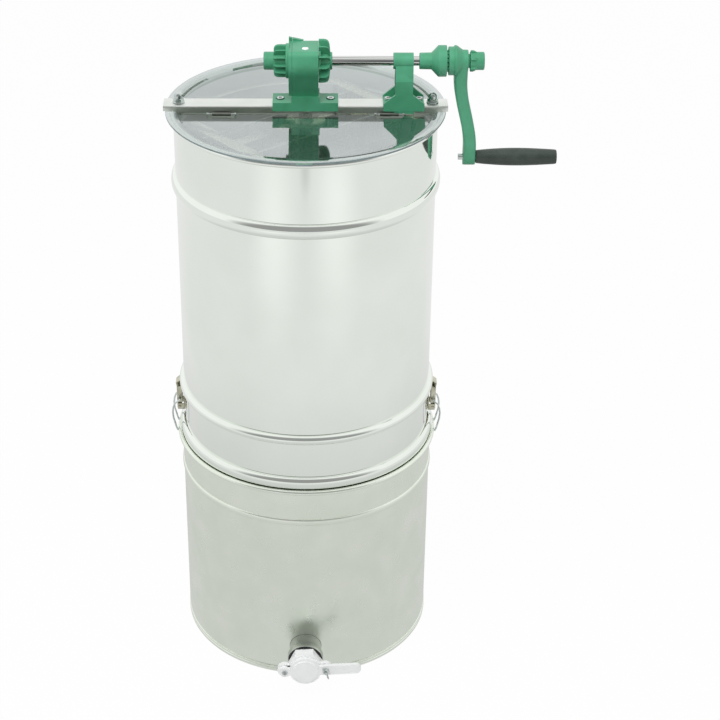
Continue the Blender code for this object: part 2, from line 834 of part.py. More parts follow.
def make_drum():
    foot_bead_height = tank_height + gap + foot_bead_width / 2
    beads = (
        (upper_bead_height, upper_bead_width, upper_bead_depth),
        (middle_bead_height, middle_bead_width, middle_bead_depth),
        (foot_bead_height, foot_bead_width, foot_bead_depth),
    )
    bottom = tank_height - drum_skirt
    wall = rolled_rim(drum_radius, drum_top, drum_roll)
    for height, width, depth in beads:
        wall += half_round(drum_radius, height, width, depth)
    wall += [(drum_radius, bottom), (drum_radius - sheet, bottom)]
    for height, width, depth in reversed(beads):
        wall += reversed(half_round(drum_radius - sheet, height, width, depth))
    turned("drum_shell", wall, "polished_steel", wall_steps)

    reach = (drum_radius - sheet) * math.cos(half_turn / wall_steps) - gap
    end_turn = math.asin(cross_bar_width / 2 / reach)
    outline = arc((0, 0), reach, -end_turn, end_turn)
    outline += arc((0, 0), reach, half_turn - end_turn, half_turn + end_turn)
    bar = plate("lower_cross_bar", [outline], cross_bar_sheet, "brushed_steel")
    bar.location = (0, 0, cross_bar_height)
    seat = cross_bar_height + cross_bar_sheet / 2 + gap
    turned("lower_bearing", [
        (0, seat + bearing_floor),
        (cage_pivot_radius + gap, seat + bearing_floor),
        (cage_pivot_radius + gap, seat + bearing_height),
        (bearing_radius - bearing_floor, seat + bearing_height),
        (bearing_radius, seat + bearing_floor),
        (bearing_radius, seat),
        (0, seat),
    ], "gear_plastic", ring=False)


def make_bar():
    inside = bar_width / 2 - bar_sheet
    outside = bar_width / 2
    web_bottom = bar_top - bar_sheet
    channel = [
        (-outside, bar_flange_bottom),
        (-outside, bar_top),
        (outside, bar_top),
        (outside, bar_flange_bottom),
        (inside, bar_flange_bottom),
        (inside, web_bottom),
        (-inside, web_bottom),
        (-inside, bar_flange_bottom),
    ]
    bar = side_plate("top_bar", channel, -bar_half_length, bar_half_length, "brushed_steel")
    relief = drum_radius - sheet - bar_rim_relief
    for side in (-1, 1):
        near = min(side * relief, side * (bar_half_length + overrun))
        far = max(side * relief, side * (bar_half_length + overrun))
        cut(bar, box("rim_relief", (near, -bar_width, bar_flange_bottom - overrun),
                     (far, bar_width, drum_top + gap)))
        cut(bar, rod("bar_bolt_hole", bar_bolt_radius + gap,
                     (side * bar_bolt_offset, 0, web_bottom - overrun),
                     (side * bar_bolt_offset, 0, bar_top + overrun), sides=bolt_steps))
    cut(bar, rod("bush_hole", bush_radius + gap, (0, 0, web_bottom - overrun),
                 (0, 0, bar_top + overrun)))
    for place in bolt_places():
        nut = rod("weld_nut", weld_nut_radius, (place, 0, web_bottom - weld_nut_height),
                  (place, 0, web_bottom + bar_sheet / 2), sides=6, phase_share=0)
        join(bar, nut)
    for place in bolt_places():
        cut(bar, rod("bolt_hole", saddle_bolt_radius + gap,
                     (place, 0, web_bottom - weld_nut_height - overrun),
                     (place, 0, bar_top + overrun), sides=bolt_steps))


def bolt_places():
    # bolts that hold the gearbox and the support bracket down on the bar
    return (-saddle_bolt_offset, saddle_bolt_offset,
            support_offset - support_bolt_offset, support_offset + support_bolt_offset)


def make_bar_fixings(side, name):
    face = (drum_radius - sheet) * math.cos(half_turn / wall_steps) - 2 * gap
    shelf = [
        (side * (face - shelf_length), shelf_top - shelf_sheet),
        (side * face, shelf_top - shelf_sheet),
        (side * face, bar_flange_bottom),
        (side * (face - shelf_sheet), bar_flange_bottom),
        (side * (face - shelf_sheet), shelf_top),
        (side * (face - shelf_length), shelf_top),
    ]
    bracket = front_plate(name + "_bar_bracket", shelf, -shelf_width / 2, shelf_width / 2,
                          "brushed_steel")
    x = side * bar_bolt_offset
    cut(bracket, rod("shelf_hole", bar_bolt_radius + gap, (x, 0, shelf_top - shelf_sheet - overrun),
                     (x, 0, shelf_top + overrun), sides=bolt_steps))
    head_top = shelf_top - shelf_sheet - gap
    bolt = turned(name + "_bar_bolt", [
        (0, bar_top + bar_bolt_reach),
        (bar_bolt_radius, bar_top + bar_bolt_reach),
        (bar_bolt_radius, head_top),
        (bar_bolt_head_radius, head_top),
        (bar_bolt_head_radius, head_top - bar_bolt_head_height),
        (0, head_top - bar_bolt_head_height),
    ], "zinc", bolt_steps, ring=False)
    bolt.location = (x, 0, 0)

    seat = bar_top + gap
    dome_middle = seat + cap_nut_height - cap_nut_dome_radius
    dome = arc((0, dome_middle), cap_nut_dome_radius, quarter_turn, 0, bead_steps)
    nut = turned(name + "_cap_nut", dome + [
        (cap_nut_dome_radius, seat + cap_nut_flange_height),
        (cap_nut_flange_radius, seat + cap_nut_flange_height),
        (cap_nut_flange_radius, seat),
        (0, seat),
    ], "zinc", bolt_steps, ring=False)
    hexes = rod("cap_nut_hex", cap_nut_hex_radius, (0, 0, seat + cap_nut_flange_height / 2),
                (0, 0, seat + cap_nut_hex_height), sides=6, phase_share=0)
    bore = rod("cap_nut_bore", bar_bolt_radius + gap, (0, 0, seat - overrun),
               (0, 0, bar_top + bar_bolt_reach + gap), sides=bolt_steps)
    join(nut, hexes)
    cut(nut, bore)
    for item in (nut, hexes, bore):
        item.location.x += x


def make_hinge_strap(x, name):
    # a spring strip under the bar whose ends clip round the lids' hinge pins
    middle = bar_flange_bottom - gap - hinge_strap_sheet / 2
    eye = hinge_pin_radius + gap + hinge_strap_sheet / 2
    meeting = math.asin((middle - hinge_height) / eye)
    hook = [(hinge_offset - eye * math.cos(meeting), middle)]
    for step in range(1, strap_steps + 1):
        angle = half_turn - meeting + (full_turn - hinge_eye_open) * step / strap_steps
        hook.append((hinge_offset + eye * math.cos(angle), hinge_height + eye * math.sin(angle)))
    path = [(-across, up) for across, up in reversed(hook)] + hook
    half = hinge_strap_width / 2
    mesh = bpy.data.meshes.new(name)
    points = [(side * half, across, up) for across, up in path for side in (-1, 1)]
    faces = [(2 * place, 2 * place + 1, 2 * place + 3, 2 * place + 2)
             for place in range(len(path) - 1)]
    mesh.from_pydata(points, [], faces)
    strap = add_item(name, mesh, "brushed_steel")
    strap.location = (x, 0, 0)
    solid = strap.modifiers.new("Sheet", "SOLIDIFY")
    solid.thickness = hinge_strap_sheet
    solid.offset = 0
    solid.use_even_offset = True


def make_lid(side, name):
    rim_top = drum_top + gap + lid_sheet
    plate_bottom = lid_plate_top - lid_sheet
    lid = turned(name, [
        (0, lid_plate_top),
        (lid_plate_radius, lid_plate_top),
        (lid_plate_radius + lid_riser_lean, rim_top),
        (lid_radius, rim_top),
        (lid_radius, rim_top - lid_sheet),
        (lid_plate_radius + lid_riser_lean + lid_sheet, rim_top - lid_sheet),
        (lid_plate_radius + lid_sheet, plate_bottom),
        (0, plate_bottom),
    ], "clear_sheet", wall_steps, ring=False)
    low = plate_bottom - overrun
    high = rim_top + overrun
    far = lid_radius + overrun

    def opening(title, left, right, near, reach):
        # a cutter between two places in X, and from one depth out to another
        depths = sorted((side * near, side * reach))
        cut(lid, box(name + title, (left, depths[0], low), (right, depths[1], high)))

    opening("_other_half", -far, far, -far, lid_edge_offset)
    opening("_centre_notch", -centre_notch_half_length, centre_notch_half_length,
            lid_edge_offset - overrun, lid_edge_offset + centre_notch_depth)
    tab_start = lid_radius - lid_sheet
    depths = sorted((side * tab_start, side * (lid_radius + lid_tab_reach)))
    tab = box(name + "_tab", (-lid_tab_half_width, depths[0], rim_top - lid_sheet),
              (lid_tab_half_width, depths[1], rim_top - gap))
    join(lid, tab)
    for x in (-notch_offset, notch_offset):
        opening("_notch", x - notch_half_length, x + notch_half_length,
                lid_edge_offset - overrun, lid_edge_offset + notch_depth)
    for end in (-1, 1):
        near = min(end * lid_corner_inner, end * far)
        opening("_corner", near, near + far - lid_corner_inner, lid_edge_offset - overrun,
                lid_corner_cut)
    ear = arc((side * hinge_offset, hinge_height), hinge_ear_radius, 0, half_turn, steps=ear_steps)
    ear += [(side * hinge_offset - hinge_ear_radius, lid_plate_top - lid_sheet / 2),
            (side * hinge_offset + hinge_ear_radius, lid_plate_top - lid_sheet / 2)]
    for x in (-notch_offset, notch_offset):
        for end in (-1, 1):
            near = x + end * (notch_half_length - gap)
            join(lid, side_plate(name + "_ear", ear, near, near + end * hinge_ear_width))
        join(lid, rod(name + "_pin", hinge_pin_radius,
                      (x - notch_half_length - hinge_ear_width / 2, side * hinge_offset, hinge_height),
                      (x + notch_half_length + hinge_ear_width / 2, side * hinge_offset, hinge_height),
                      sides=bolt_steps))
    # the lid's parent is on the hinge's axis
    hinge = bpy.data.objects.new(name + "_hinge", None)
    extractor.objects.link(hinge)
    hinge.location = (0, side * hinge_offset, hinge_height)
    lid.parent = hinge
    lid.location = -hinge.location


def housing_outline(bottom):
    # the housing seen along the shaft: a flat top, round sides and a tapering foot
    top_reach = math.hypot(box_top_half_depth, box_top_height)
    top_turn = math.atan2(box_top_height, box_top_half_depth) - math.acos(box_radius / top_reach)
    drop = shaft_height - saddle_block_top
    foot_reach = math.hypot(neck_half_depth, drop)
    foot_turn = math.atan2(drop, neck_half_depth) - math.acos(box_radius / foot_reach)
    half = neck_half_depth + (bottom - saddle_block_top) * math.tan(foot_turn)
    axis = (0, shaft_height)
    top = shaft_height + box_top_height
    outline = [(-half, bottom)]
    outline += arc(axis, box_radius, half_turn + foot_turn, half_turn - top_turn, side_steps)
    outline += [(-box_top_half_depth, top), (box_top_half_depth, top)]
    outline += arc(axis, box_radius, top_turn, -foot_turn, side_steps)
    outline += [(half, bottom)]
    return outline


def top_lug(name, left, right):
    # a stretch of the wedge along the rear edge of the housing's top
    start = -left_plate_end
    top = shaft_height + box_top_height

    def rise(x):
        return box_lug_height * (1 - (x - start) / box_lug_length)

    outline = [(left, top - gap), (right, top - gap), (right, top + rise(right) + gap),
               (left, top + rise(left) + gap)]
    rear = box_top_half_depth - gap
    return front_plate(name, outline, rear - box_lug_depth, rear)


def make_gearbox():
    saddle = [
        (-saddle_half_length, saddle_bottom),
        (saddle_half_length, saddle_bottom),
        (saddle_half_length, saddle_top),
        (saddle_block_half_length, saddle_top),
        (saddle_block_half_length, saddle_block_top),
        (-saddle_block_half_length, saddle_block_top),
        (-saddle_block_half_length, saddle_top),
        (-saddle_half_length, saddle_top),
    ]
    housing = front_plate("gearbox_housing", saddle, -saddle_half_depth, saddle_half_depth,
                          "green_plastic")
    join(housing, side_plate("housing_body", housing_outline(saddle_top), -box_half_length,
                             box_half_length))
    join(housing, top_lug("housing_lug", -box_half_length, box_lug_length - left_plate_end))
    cut(housing, rod("gear_cavity", box_cavity_radius, (-box_half_length - overrun, 0, shaft_height),
                     (box_half_length + overrun, 0, shaft_height), sides=cavity_steps))
    cut(housing, rod("pinion_pocket", pinion_pocket_radius, (0, 0, pinion_pocket_floor),
                     (0, 0, shaft_height)))
    half = bar_width / 2 + gap
    cut(housing, box("bar_channel", (-saddle_half_length - overrun, -half, saddle_bottom - overrun),
                     (saddle_half_length + overrun, half, bar_top + gap)))
    cut(housing, rod("bush_bore", bush_radius + gap, (0, 0, bar_top - overrun),
                     (0, 0, pinion_pocket_floor + overrun)))
    head_floor = saddle_top - saddle_pocket_depth
    for x in (-saddle_bolt_offset, saddle_bolt_offset):
        cut(housing, rod("saddle_hole", saddle_bolt_radius + gap, (x, 0, bar_top - overrun),
                         (x, 0, saddle_top + overrun), sides=bolt_steps))
        cut(housing, rod("saddle_pocket", saddle_pocket_radius, (x, 0, head_floor),
                         (x, 0, saddle_top + overrun), sides=turned_steps))

    # plug in the flat top
    top = shaft_height + box_top_height
    cut(housing, rod("plug_hole", filler_plug_radius + gap,
                     (0, -filler_plug_offset, top - filler_plug_depth),
                     (0, -filler_plug_offset, top + overrun), sides=bolt_steps))
    rod("filler_plug", filler_plug_radius, (0, -filler_plug_offset, top - filler_plug_depth + gap),
        (0, -filler_plug_offset, top + filler_plug_rise), "white_plastic", sides=bolt_steps)

    turned("cage_bush", [
        (cage_journal_radius + gap, pinion_pocket_floor),
        (bush_radius, pinion_pocket_floor),
        (bush_radius, bush_bottom + bush_flange),
        (bush_flange_radius, bush_bottom + bush_flange),
        (bush_flange_radius, bush_bottom),
        (cage_journal_radius + gap, bush_bottom),
    ], "bronze")
    make_left_cover()
    make_right_cover()
    make_bolt("left_saddle_bolt", -saddle_bolt_offset, head_floor + gap)
    make_bolt("right_saddle_bolt", saddle_bolt_offset, head_floor + gap)


def make_bolt(name, x, seat):
    # a socket head bolt into a weld nut under the bar
    end = bar_top - bar_sheet - weld_nut_height
    bolt = turned(name, [
        (0, seat + saddle_bolt_head_height / 2),
        (saddle_bolt_head_radius / 2, seat + saddle_bolt_head_height / 2),
        (saddle_bolt_head_radius / 2, seat + saddle_bolt_head_height),
        (saddle_bolt_head_radius, seat + saddle_bolt_head_height),
        (saddle_bolt_head_radius, seat),
        (saddle_bolt_radius, seat),
        (saddle_bolt_radius, end),
        (0, end),
    ], "zinc", bolt_steps, ring=False)
    bolt.location = (x, 0, 0)


def fins(tip_radius, root_radius, height):
    return toothed_ring(cover_fins, (tip_radius, height), (root_radius, height),
                        fin_half_share, fin_half_share * 2)


def make_left_cover():
    edge = left_flange_end + left_bell_length * bell_edge_share
    shoulder = (edge + left_bell_end) / 2
    flange_start = (cover_start + left_plate_end) / 2
    plate_item = side_plate("gearbox_left_cover", housing_outline(saddle_block_top + gap),
                            -left_plate_end, -cover_start, "green_plastic")
    bell = lofted("left_bell", [
        fins(left_flange_radius, left_flange_radius, flange_start),
        fins(left_flange_radius, left_flange_radius, left_flange_end),
        fins(left_bell_radius, left_core_radius, left_flange_end + gap),
        fins(left_bell_radius, left_core_radius, edge),
        fins((left_bell_radius * 2 + left_boss_radius) / 3, (left_core_radius + left_boss_radius) / 2,
             shoulder),
        fins(left_boss_radius + gap, left_boss_radius + gap, left_bell_end),
        fins(left_boss_radius, left_boss_radius, left_boss_end - cover_wall / 3),
        fins(left_boss_radius - cover_wall / 3, left_boss_radius - cover_wall / 3, left_boss_end),
    ], ring=False)
    cavity = turned("left_cavity", [
        (0, left_boss_end - cover_wall),
        (drive_shaft_radius + slack, left_boss_end - cover_wall),
        (drive_shaft_radius + slack, left_cavity_end),
        (left_cavity_radius, left_cavity_end),
        (left_cavity_radius, box_half_length - overrun),
        (0, box_half_length - overrun),
    ], ring=False)
    for item in (bell, cavity):
        item.location = (0, 0, shaft_height)
        item.rotation_euler = (0, -quarter_turn, 0)
    join(plate_item, bell, top_lug("cover_lug", -left_plate_end, -cover_start))
    cut(plate_item, cavity)


def make_right_cover():
    edge = cover_start + right_bell_length * bell_edge_share
    shoulder = (edge + right_bell_end) / 2
    cover = lofted("gearbox_right_cover", [
        fins(right_bell_radius, right_disc_radius, cover_start),
        fins(right_bell_radius, right_disc_radius, cover_start + cover_wall),
        fins(right_bell_radius, right_core_radius, cover_start + cover_wall + gap),
        fins(right_bell_radius, right_core_radius, edge),
        fins((right_bell_radius * 2 + right_collar_radius) / 3,
             (right_core_radius + right_collar_radius) / 2, shoulder),
        fins(right_collar_radius + gap, right_collar_radius + gap, right_bell_end),
        fins(right_collar_radius, right_collar_radius, right_collar_end),
    ], "green_plastic", ring=False)
    cavity = turned("right_cavity", [
        (0, right_collar_end + overrun),
        (drive_shaft_radius + slack, right_collar_end + overrun),
        (drive_shaft_radius + slack, right_cavity_end),
        (right_cavity_radius, right_cavity_end),
        (right_cavity_radius, cover_start - overrun),
        (0, cover_start - overrun),
    ], ring=False)
    for item in (cover, cavity):
        item.location = (0, 0, shaft_height)
        along_x(item)
    cut(cover, cavity)


def bevel_gear(name, radius, mate_radius, teeth, bore, back, hub_length, turn):
    # about local Z, with the meeting point of the cones at the origin
    length = math.hypot(radius, mate_radius)
    module = 2 * radius / teeth
    inner = 1 - gear_face_share

    def off_pitch(share):
        # a point at the outer end, off the pitch cone by a share of the module
        return (radius + mate_radius / length * share * module,
                mate_radius - radius / length * share * module)

    tip = off_pitch(gear_addendum_share)
    root = off_pitch(-gear_dedendum_share)
    inner_tip = (tip[0] * inner, tip[1] * inner)
    inner_root = (root[0] * inner, root[1] * inner)
    back_height = root[1] + back

    def ring(place, other=None):
        return toothed_ring(teeth, place, other or place, gear_tip_share, gear_root_share, turn)

    return lofted(name, [
        ring((bore, inner_root[1])),
        ring(inner_tip, inner_root),
        ring(tip, root),
        ring((root[0], back_height)),
        ring((bore, back_height + hub_length)),
    ], "gear_plastic")


def make_drive():
    shaft = rod("drive_shaft", drive_shaft_radius, (drive_shaft_start, 0, shaft_height),
                (drive_shaft_end, 0, shaft_height), "polished_steel")
    gear = bevel_gear("drive_gear", gear_radius, pinion_radius, gear_teeth,
                      drive_shaft_radius + gap, gear_back, gear_hub_length, 0)
    gear.location = (0, 0, shaft_height)
    along_x(gear)

    dogs = (dog_teeth, dog_tip_share, dog_root_share)

    def ring(radius, height, turn=0):
        return plain_ring(dogs[0], (radius, height), dogs[1], dogs[2], turn)

    def dog_ring(radius, tip, root, turn=0):
        return toothed_ring(dogs[0], (radius, tip), (radius, root), dogs[1], dogs[2], turn)

    bore = drive_shaft_radius + gap
    hub = lofted("clutch_hub", [
        ring(bore, hub_start),
        ring(hub_neck_radius, hub_start),
        ring(hub_neck_radius, hub_neck_end),
        ring(hub_disc_radius, hub_disc_start),
        ring(hub_disc_radius, hub_disc_end),
        ring(dog_outer_radius + dog_land, hub_disc_end),
        dog_ring(dog_outer_radius, hub_disc_end + dog_height, hub_disc_end),
        dog_ring(dog_inner_radius, hub_disc_end + dog_height, hub_disc_end),
        ring(dog_inner_radius - dog_land, hub_disc_end),
        ring(bore, hub_disc_end),
    ], "green_plastic")
    half_pitch = full_turn / dog_teeth / 2
    run = drive_shaft_radius + slack
    crank = lofted("crank_arm", [
        ring(run, crank_disc_start, half_pitch),
        ring(dog_inner_radius - dog_land, crank_disc_start, half_pitch),
        dog_ring(dog_inner_radius, crank_disc_start - dog_height, crank_disc_start, half_pitch),
        dog_ring(dog_outer_radius, crank_disc_start - dog_height, crank_disc_start, half_pitch),
        ring(dog_outer_radius + dog_land, crank_disc_start, half_pitch),
        ring(crank_disc_radius, crank_flange_start, half_pitch),
        ring(crank_flange_radius, crank_flange_start + dog_height, half_pitch),
        ring(crank_collar_radius, crank_cone_end, half_pitch),
        ring(crank_collar_radius, crank_collar_end, half_pitch),
        ring(crank_nose_radius, crank_collar_end, half_pitch),
        ring(crank_nose_radius, crank_nose_end, half_pitch),
        ring(run, crank_nose_end, half_pitch),
    ], "green_plastic")
    for item in (hub, crank):
        item.location = (0, 0, shaft_height)
        along_x(item)

    arm = lofted("arm_bar", arm_rings(), ring=False)
    foot_x = arm_middle + arm_offset
    pin_height = shaft_height - crank_throw
    join(crank, arm)
    cut(crank, rod("arm_bore", run, (crank_disc_start + dog_height, 0, shaft_height),
                   (crank_nose_end + overrun, 0, shaft_height)))
    cut(crank, rod("pin_hole", pin_radius + gap, (foot_x - arm_head_half_width, 0, pin_height),
                   (foot_x + arm_head_half_width, 0, pin_height), sides=bolt_steps))

    def wing_ring(radius, height):
        # the roots stay inside the knob
        return toothed_ring(knob_wings, (radius, height), (knob_cup_radius, height),
                            fin_half_share / 2, fin_half_share, quarter_turn)

    edge = cover_wall / 3
    knob = turned("shaft_knob", [
        (0, knob_end),
        (knob_radius - edge, knob_end),
        (knob_radius, knob_end - edge),
        (knob_radius, knob_start),
        (0, knob_start),
    ], "green_plastic", ring=False)
    wings = lofted("knob_wings", [
        wing_ring(knob_wing_radius, knob_start + gap),
        wing_ring(knob_wing_radius, (knob_start + knob_wing_end) / 2),
        wing_ring(knob_radius - gap, knob_wing_end),
    ], ring=False)
    recess = turned("knob_recess", [
        (0, knob_end + overrun),
        (bore, knob_end + overrun),
        (bore, knob_cup_end),
        (knob_cup_radius, knob_cup_end),
        (knob_cup_radius, knob_start - overrun),
        (0, knob_start - overrun),
    ], ring=False)
    join(knob, wings)
    cut(knob, recess)
    for item in (knob, wings, recess):
        item.location = (0, 0, shaft_height)
        along_x(item)

    room_start = crank_nose_end + crank_travel + spring_wire + gap
    room_end = knob_cup_end - spring_wire - gap
    coil = []
    count = spring_turns * spring_points_per_turn
    for step in range(count + 1):
        angle = full_turn * step / spring_points_per_turn
        coil.append((room_start + (room_end - room_start) * step / count,
                     spring_radius * math.cos(angle), spring_radius * math.sin(angle)))
    spring = wire("clutch_spring", coil, spring_wire, "zinc")
    spring.location = (0, 0, shaft_height)

    outer = foot_x + arm_foot_half_thickness
    inner = foot_x - arm_foot_half_thickness
    grip_start = outer + slack
    pin = turned("crank_pin", [
        (0, grip_start + grip_length - pin_end_inset),
        (pin_radius, grip_start + grip_length - pin_end_inset),
        (pin_radius, inner - gap),
        (pin_head_radius, inner - gap),
        (pin_head_radius, inner - gap - pin_head_length),
        (0, inner - gap - pin_head_length),
    ], "zinc", bolt_steps, ring=False)
    grip = turned("crank_grip", grip_outline(grip_start), "dark_grip", ring=False)
    for item in (pin, grip):
        item.location = (0, 0, pin_height)
        along_x(item)


def arm_rings():
    # level sections of the arm, which bends outward on its way down
    rings = []
    length = crank_throw + arm_foot_reach
    for step in range(arm_sections):
        drop = length * step / (arm_sections - 1)
        bend = min(max((drop - arm_bend_start) / arm_bend_length, 0), 1)
        ease = bend * bend * (3 - 2 * bend)
        share = drop / length
        middle = arm_middle + arm_offset * ease
        thick = arm_half_thickness + (arm_foot_half_thickness - arm_half_thickness) * share
        wide = arm_head_half_width + (arm_foot_half_width - arm_head_half_width) * share
        if step == arm_sections - 1:
            wide = wide / 2
        edge = thick * arm_edge_share
        corners = ((1, 1), (-1, 1), (-1, -1), (1, -1))
        ring = []
        for place, (x, y) in enumerate(corners):
            pair = [(middle + x * (thick - edge), y * wide), (middle + x * thick, y * (wide - edge))]
            if place in (0, 2):
                pair.reverse()
            ring += [(px, py, shaft_height - drop) for px, py in pair]
        rings.append(ring)
    return rings


def grip_outline(start):
    # a swollen handle with a blind bore for the pin, from its far end back to its mouth
    end = start + grip_length
    outline = [(0, end), (grip_end_radius * 2 / 3, end), (grip_end_radius, end - grip_end_radius / 3)]
    for share in (0.75, 0.5, 0.25):
        swell = math.sin(share * half_turn)
        base = grip_start_radius + (grip_end_radius - grip_start_radius) * share
        outline.append((base + (grip_middle_radius - base) * swell, start + grip_length * share))
    outline += [
        (grip_start_radius, start),
        (pin_radius + gap, start),
        (pin_radius + gap, end - pin_end_inset + gap),
        (0, end - pin_end_inset + gap),
    ]
    return outline


def make_support():
    x = support_offset
    wall = [
        (x - support_base_half_width, saddle_bottom),
        (x + support_base_half_width, saddle_bottom),
        (x + support_base_half_width, support_base_top),
        (x + support_post_half_width, support_flare_top),
        (x + support_post_half_width, support_shoulder),
        (x - support_post_half_width, support_shoulder),
        (x - support_post_half_width, support_flare_top),
        (x - support_base_half_width, support_base_top),
    ]
    support = front_plate("support_bracket", wall, -support_front, -support_front + support_wall,
                          "green_plastic")
    rear = front_plate("support_rear_wall", wall, support_front - support_wall, support_front)
    deep = support_front - support_post_set_back
    post = [(-deep, bar_top), (-deep, support_shoulder - gap)]
    post += arc((0, shaft_height), support_top_half_depth, half_turn, 0)
    post += [(deep, support_shoulder - gap), (deep, bar_top)]
    post_half = support_post_half_width + support_post_set_back
    middle = side_plate("support_post", post, x - post_half, x + post_half)
    inside = support_front - support_wall / 2
    base_half = support_base_half_width - support_post_set_back
    slab = box("support_slab", (x - base_half, -inside, bar_top),
               (x + base_half, inside, support_base_top))
    lip_rear = -support_front + support_wall - support_post_set_back
    lip = box("support_lip", (x - support_lip_half_width, -support_front + gap, support_lip_bottom),
              (x + support_lip_half_width, lip_rear, support_base_top))
    boss_middle = x - support_boss_shift
    boss_left = boss_middle - support_boss_half_length
    boss_right = boss_middle + support_boss_half_length
    boss = rod("support_boss", support_boss_radius, (boss_left, 0, shaft_height),
               (boss_right, 0, shaft_height))
    join(support, rear, slab, middle, boss, lip)
    half = bar_width / 2 + gap
    cut(support, box("support_channel", (x - support_base_half_width - overrun, -half,
                                         support_lip_bottom - overrun),
                     (x + support_base_half_width + overrun, half, bar_top + gap)))
    cut(support, rod("support_bore", bracket_bush_radius + gap,
                     (boss_left - overrun, 0, shaft_height),
                     (boss_right + overrun, 0, shaft_height)))
    for side, name in ((-1, "left_bracket_bolt"), (1, "right_bracket_bolt")):
        place = x + side * support_bolt_offset
        cut(support, rod("support_hole", saddle_bolt_radius + gap, (place, 0, bar_top - overrun),
                         (place, 0, support_base_top + overrun), sides=bolt_steps))
        make_bolt(name, place, support_base_top + gap)
    bush = turned("bracket_bush", [
        (drive_shaft_radius + gap, support_boss_half_length),
        (bracket_bush_radius, support_boss_half_length),
        (bracket_bush_radius, -support_boss_half_length),
        (drive_shaft_radius + gap, -support_boss_half_length),
    ], "gear_plastic")
    bush.location = (boss_middle, 0, shaft_height)
    along_x(bush)


def make_cage():
    pinion_start = shaft_height - gear_radius
    root_drop = gear_dedendum_share * (2 * pinion_radius / pinion_teeth) * pinion_radius \
        / math.hypot(gear_radius, pinion_radius)
    pinion_base = pinion_start - root_drop - pinion_hub_length
    seat = cross_bar_height + cross_bar_sheet / 2 + gap
    pivot_bottom = seat + bearing_floor + gap
    pivot_top = seat + bearing_height + gap
    shaft = turned("cage_shaft", [
        (0, gear_seat_top),
        (gear_seat_radius, gear_seat_top),
        (gear_seat_radius, pinion_base - gap),
        (cage_journal_radius, pinion_base - gap),
        (cage_journal_radius, cage_shaft_shoulder),
        (cage_shaft_radius, cage_shaft_shoulder),
        (cage_shaft_radius, pivot_top),
        (cage_pivot_radius, pivot_top),
        (cage_pivot_radius, pivot_bottom),
        (0, pivot_bottom),
    ], "polished_steel", ring=False)
    gear = bevel_gear("cage_gear", pinion_radius, gear_radius, pinion_teeth,
                      gear_seat_radius + gap, pinion_hub_length / 2, pinion_hub_length / 2,
                      full_turn / pinion_teeth / 2 - cage_angle)
    gear.data.transform(Matrix.Diagonal((1, 1, -1, 1)))
    gear.data.flip_normals()
    gear.location = (0, 0, shaft_height)

    half = cage_bar_width / 2
    cross = cage_cross_reach
    outline = [
        (cross + half, -cage_cross_half_length), (cross + half, cage_cross_half_length),
        (cross - half, cage_cross_half_length), (cross - half, half),
        (-cross + half, half), (-cross + half, cage_cross_half_length),
        (-cross - half, cage_cross_half_length), (-cross - half, -cage_cross_half_length),
        (-cross + half, -cage_cross_half_length), (-cross + half, -half),
        (cross - half, -half), (cross - half, -cage_cross_half_length),
    ]
    riding = [shaft, gear]
    levels = (("cage_top_frame", cage_top - cage_bar_sheet / 2),
              ("cage_bottom_frame", cage_bottom + cage_bar_sheet / 2))
    for name, height in levels:
        frame = plate(name, [outline], cage_bar_sheet, "brushed_steel")
        frame.location = (0, 0, height)
        hub = rod(name + "_hub", cage_hub_radius, (0, 0, height - cage_hub_height / 2),
                  (0, 0, height + cage_hub_height / 2))
        bore = rod(name + "_bore", cage_shaft_radius + gap, (0, 0, height - cage_hub_height),
                   (0, 0, height + cage_hub_height))
        join(frame, hub)
        cut(frame, bore)
        riding += [frame, hub, bore]
    low = cage_bottom + cage_bar_sheet + gap
    high = cage_top - cage_bar_sheet - gap
    places = ((1, 1), (-1, 1), (-1, -1), (1, -1))
    for number, (x, y) in enumerate(places, start=1):
        riding.append(rod("cage_post_" + str(number), cage_post_radius,
                          (x * cage_cross_reach, y * cage_post_reach, low),
                          (x * cage_cross_reach, y * cage_post_reach, high),
                          "brushed_steel", sides=bolt_steps))
    for number, side in enumerate((1, -1), start=1):
        rim = [(-screen_half_width, low), (screen_half_width, low),
               (screen_half_width, high), (-screen_half_width, high)]
        middle = side * screen_offset
        screen = front_plate("cage_screen_" + str(number), rim, middle - screen_sheet / 2,
                             middle + screen_sheet / 2, "brushed_steel", holes=screen_holes(low, high))
        riding.append(screen)
    for item in riding:
        item.parent = cage_axis


def screen_holes(low, high):
    wide = (2 * screen_half_width - screen_rail) / screen_columns
    tall = (high - low - screen_rail) / screen_rows
    holes = []
    for column in range(screen_columns):
        for row in range(screen_rows):
            left = -screen_half_width + screen_rail + column * wide
            bottom = low + screen_rail + row * tall
            right = left + wide - screen_rail
            top = bottom + tall - screen_rail
            holes.append([(left, bottom), (left, top), (right, top), (right, bottom)])
    return holes


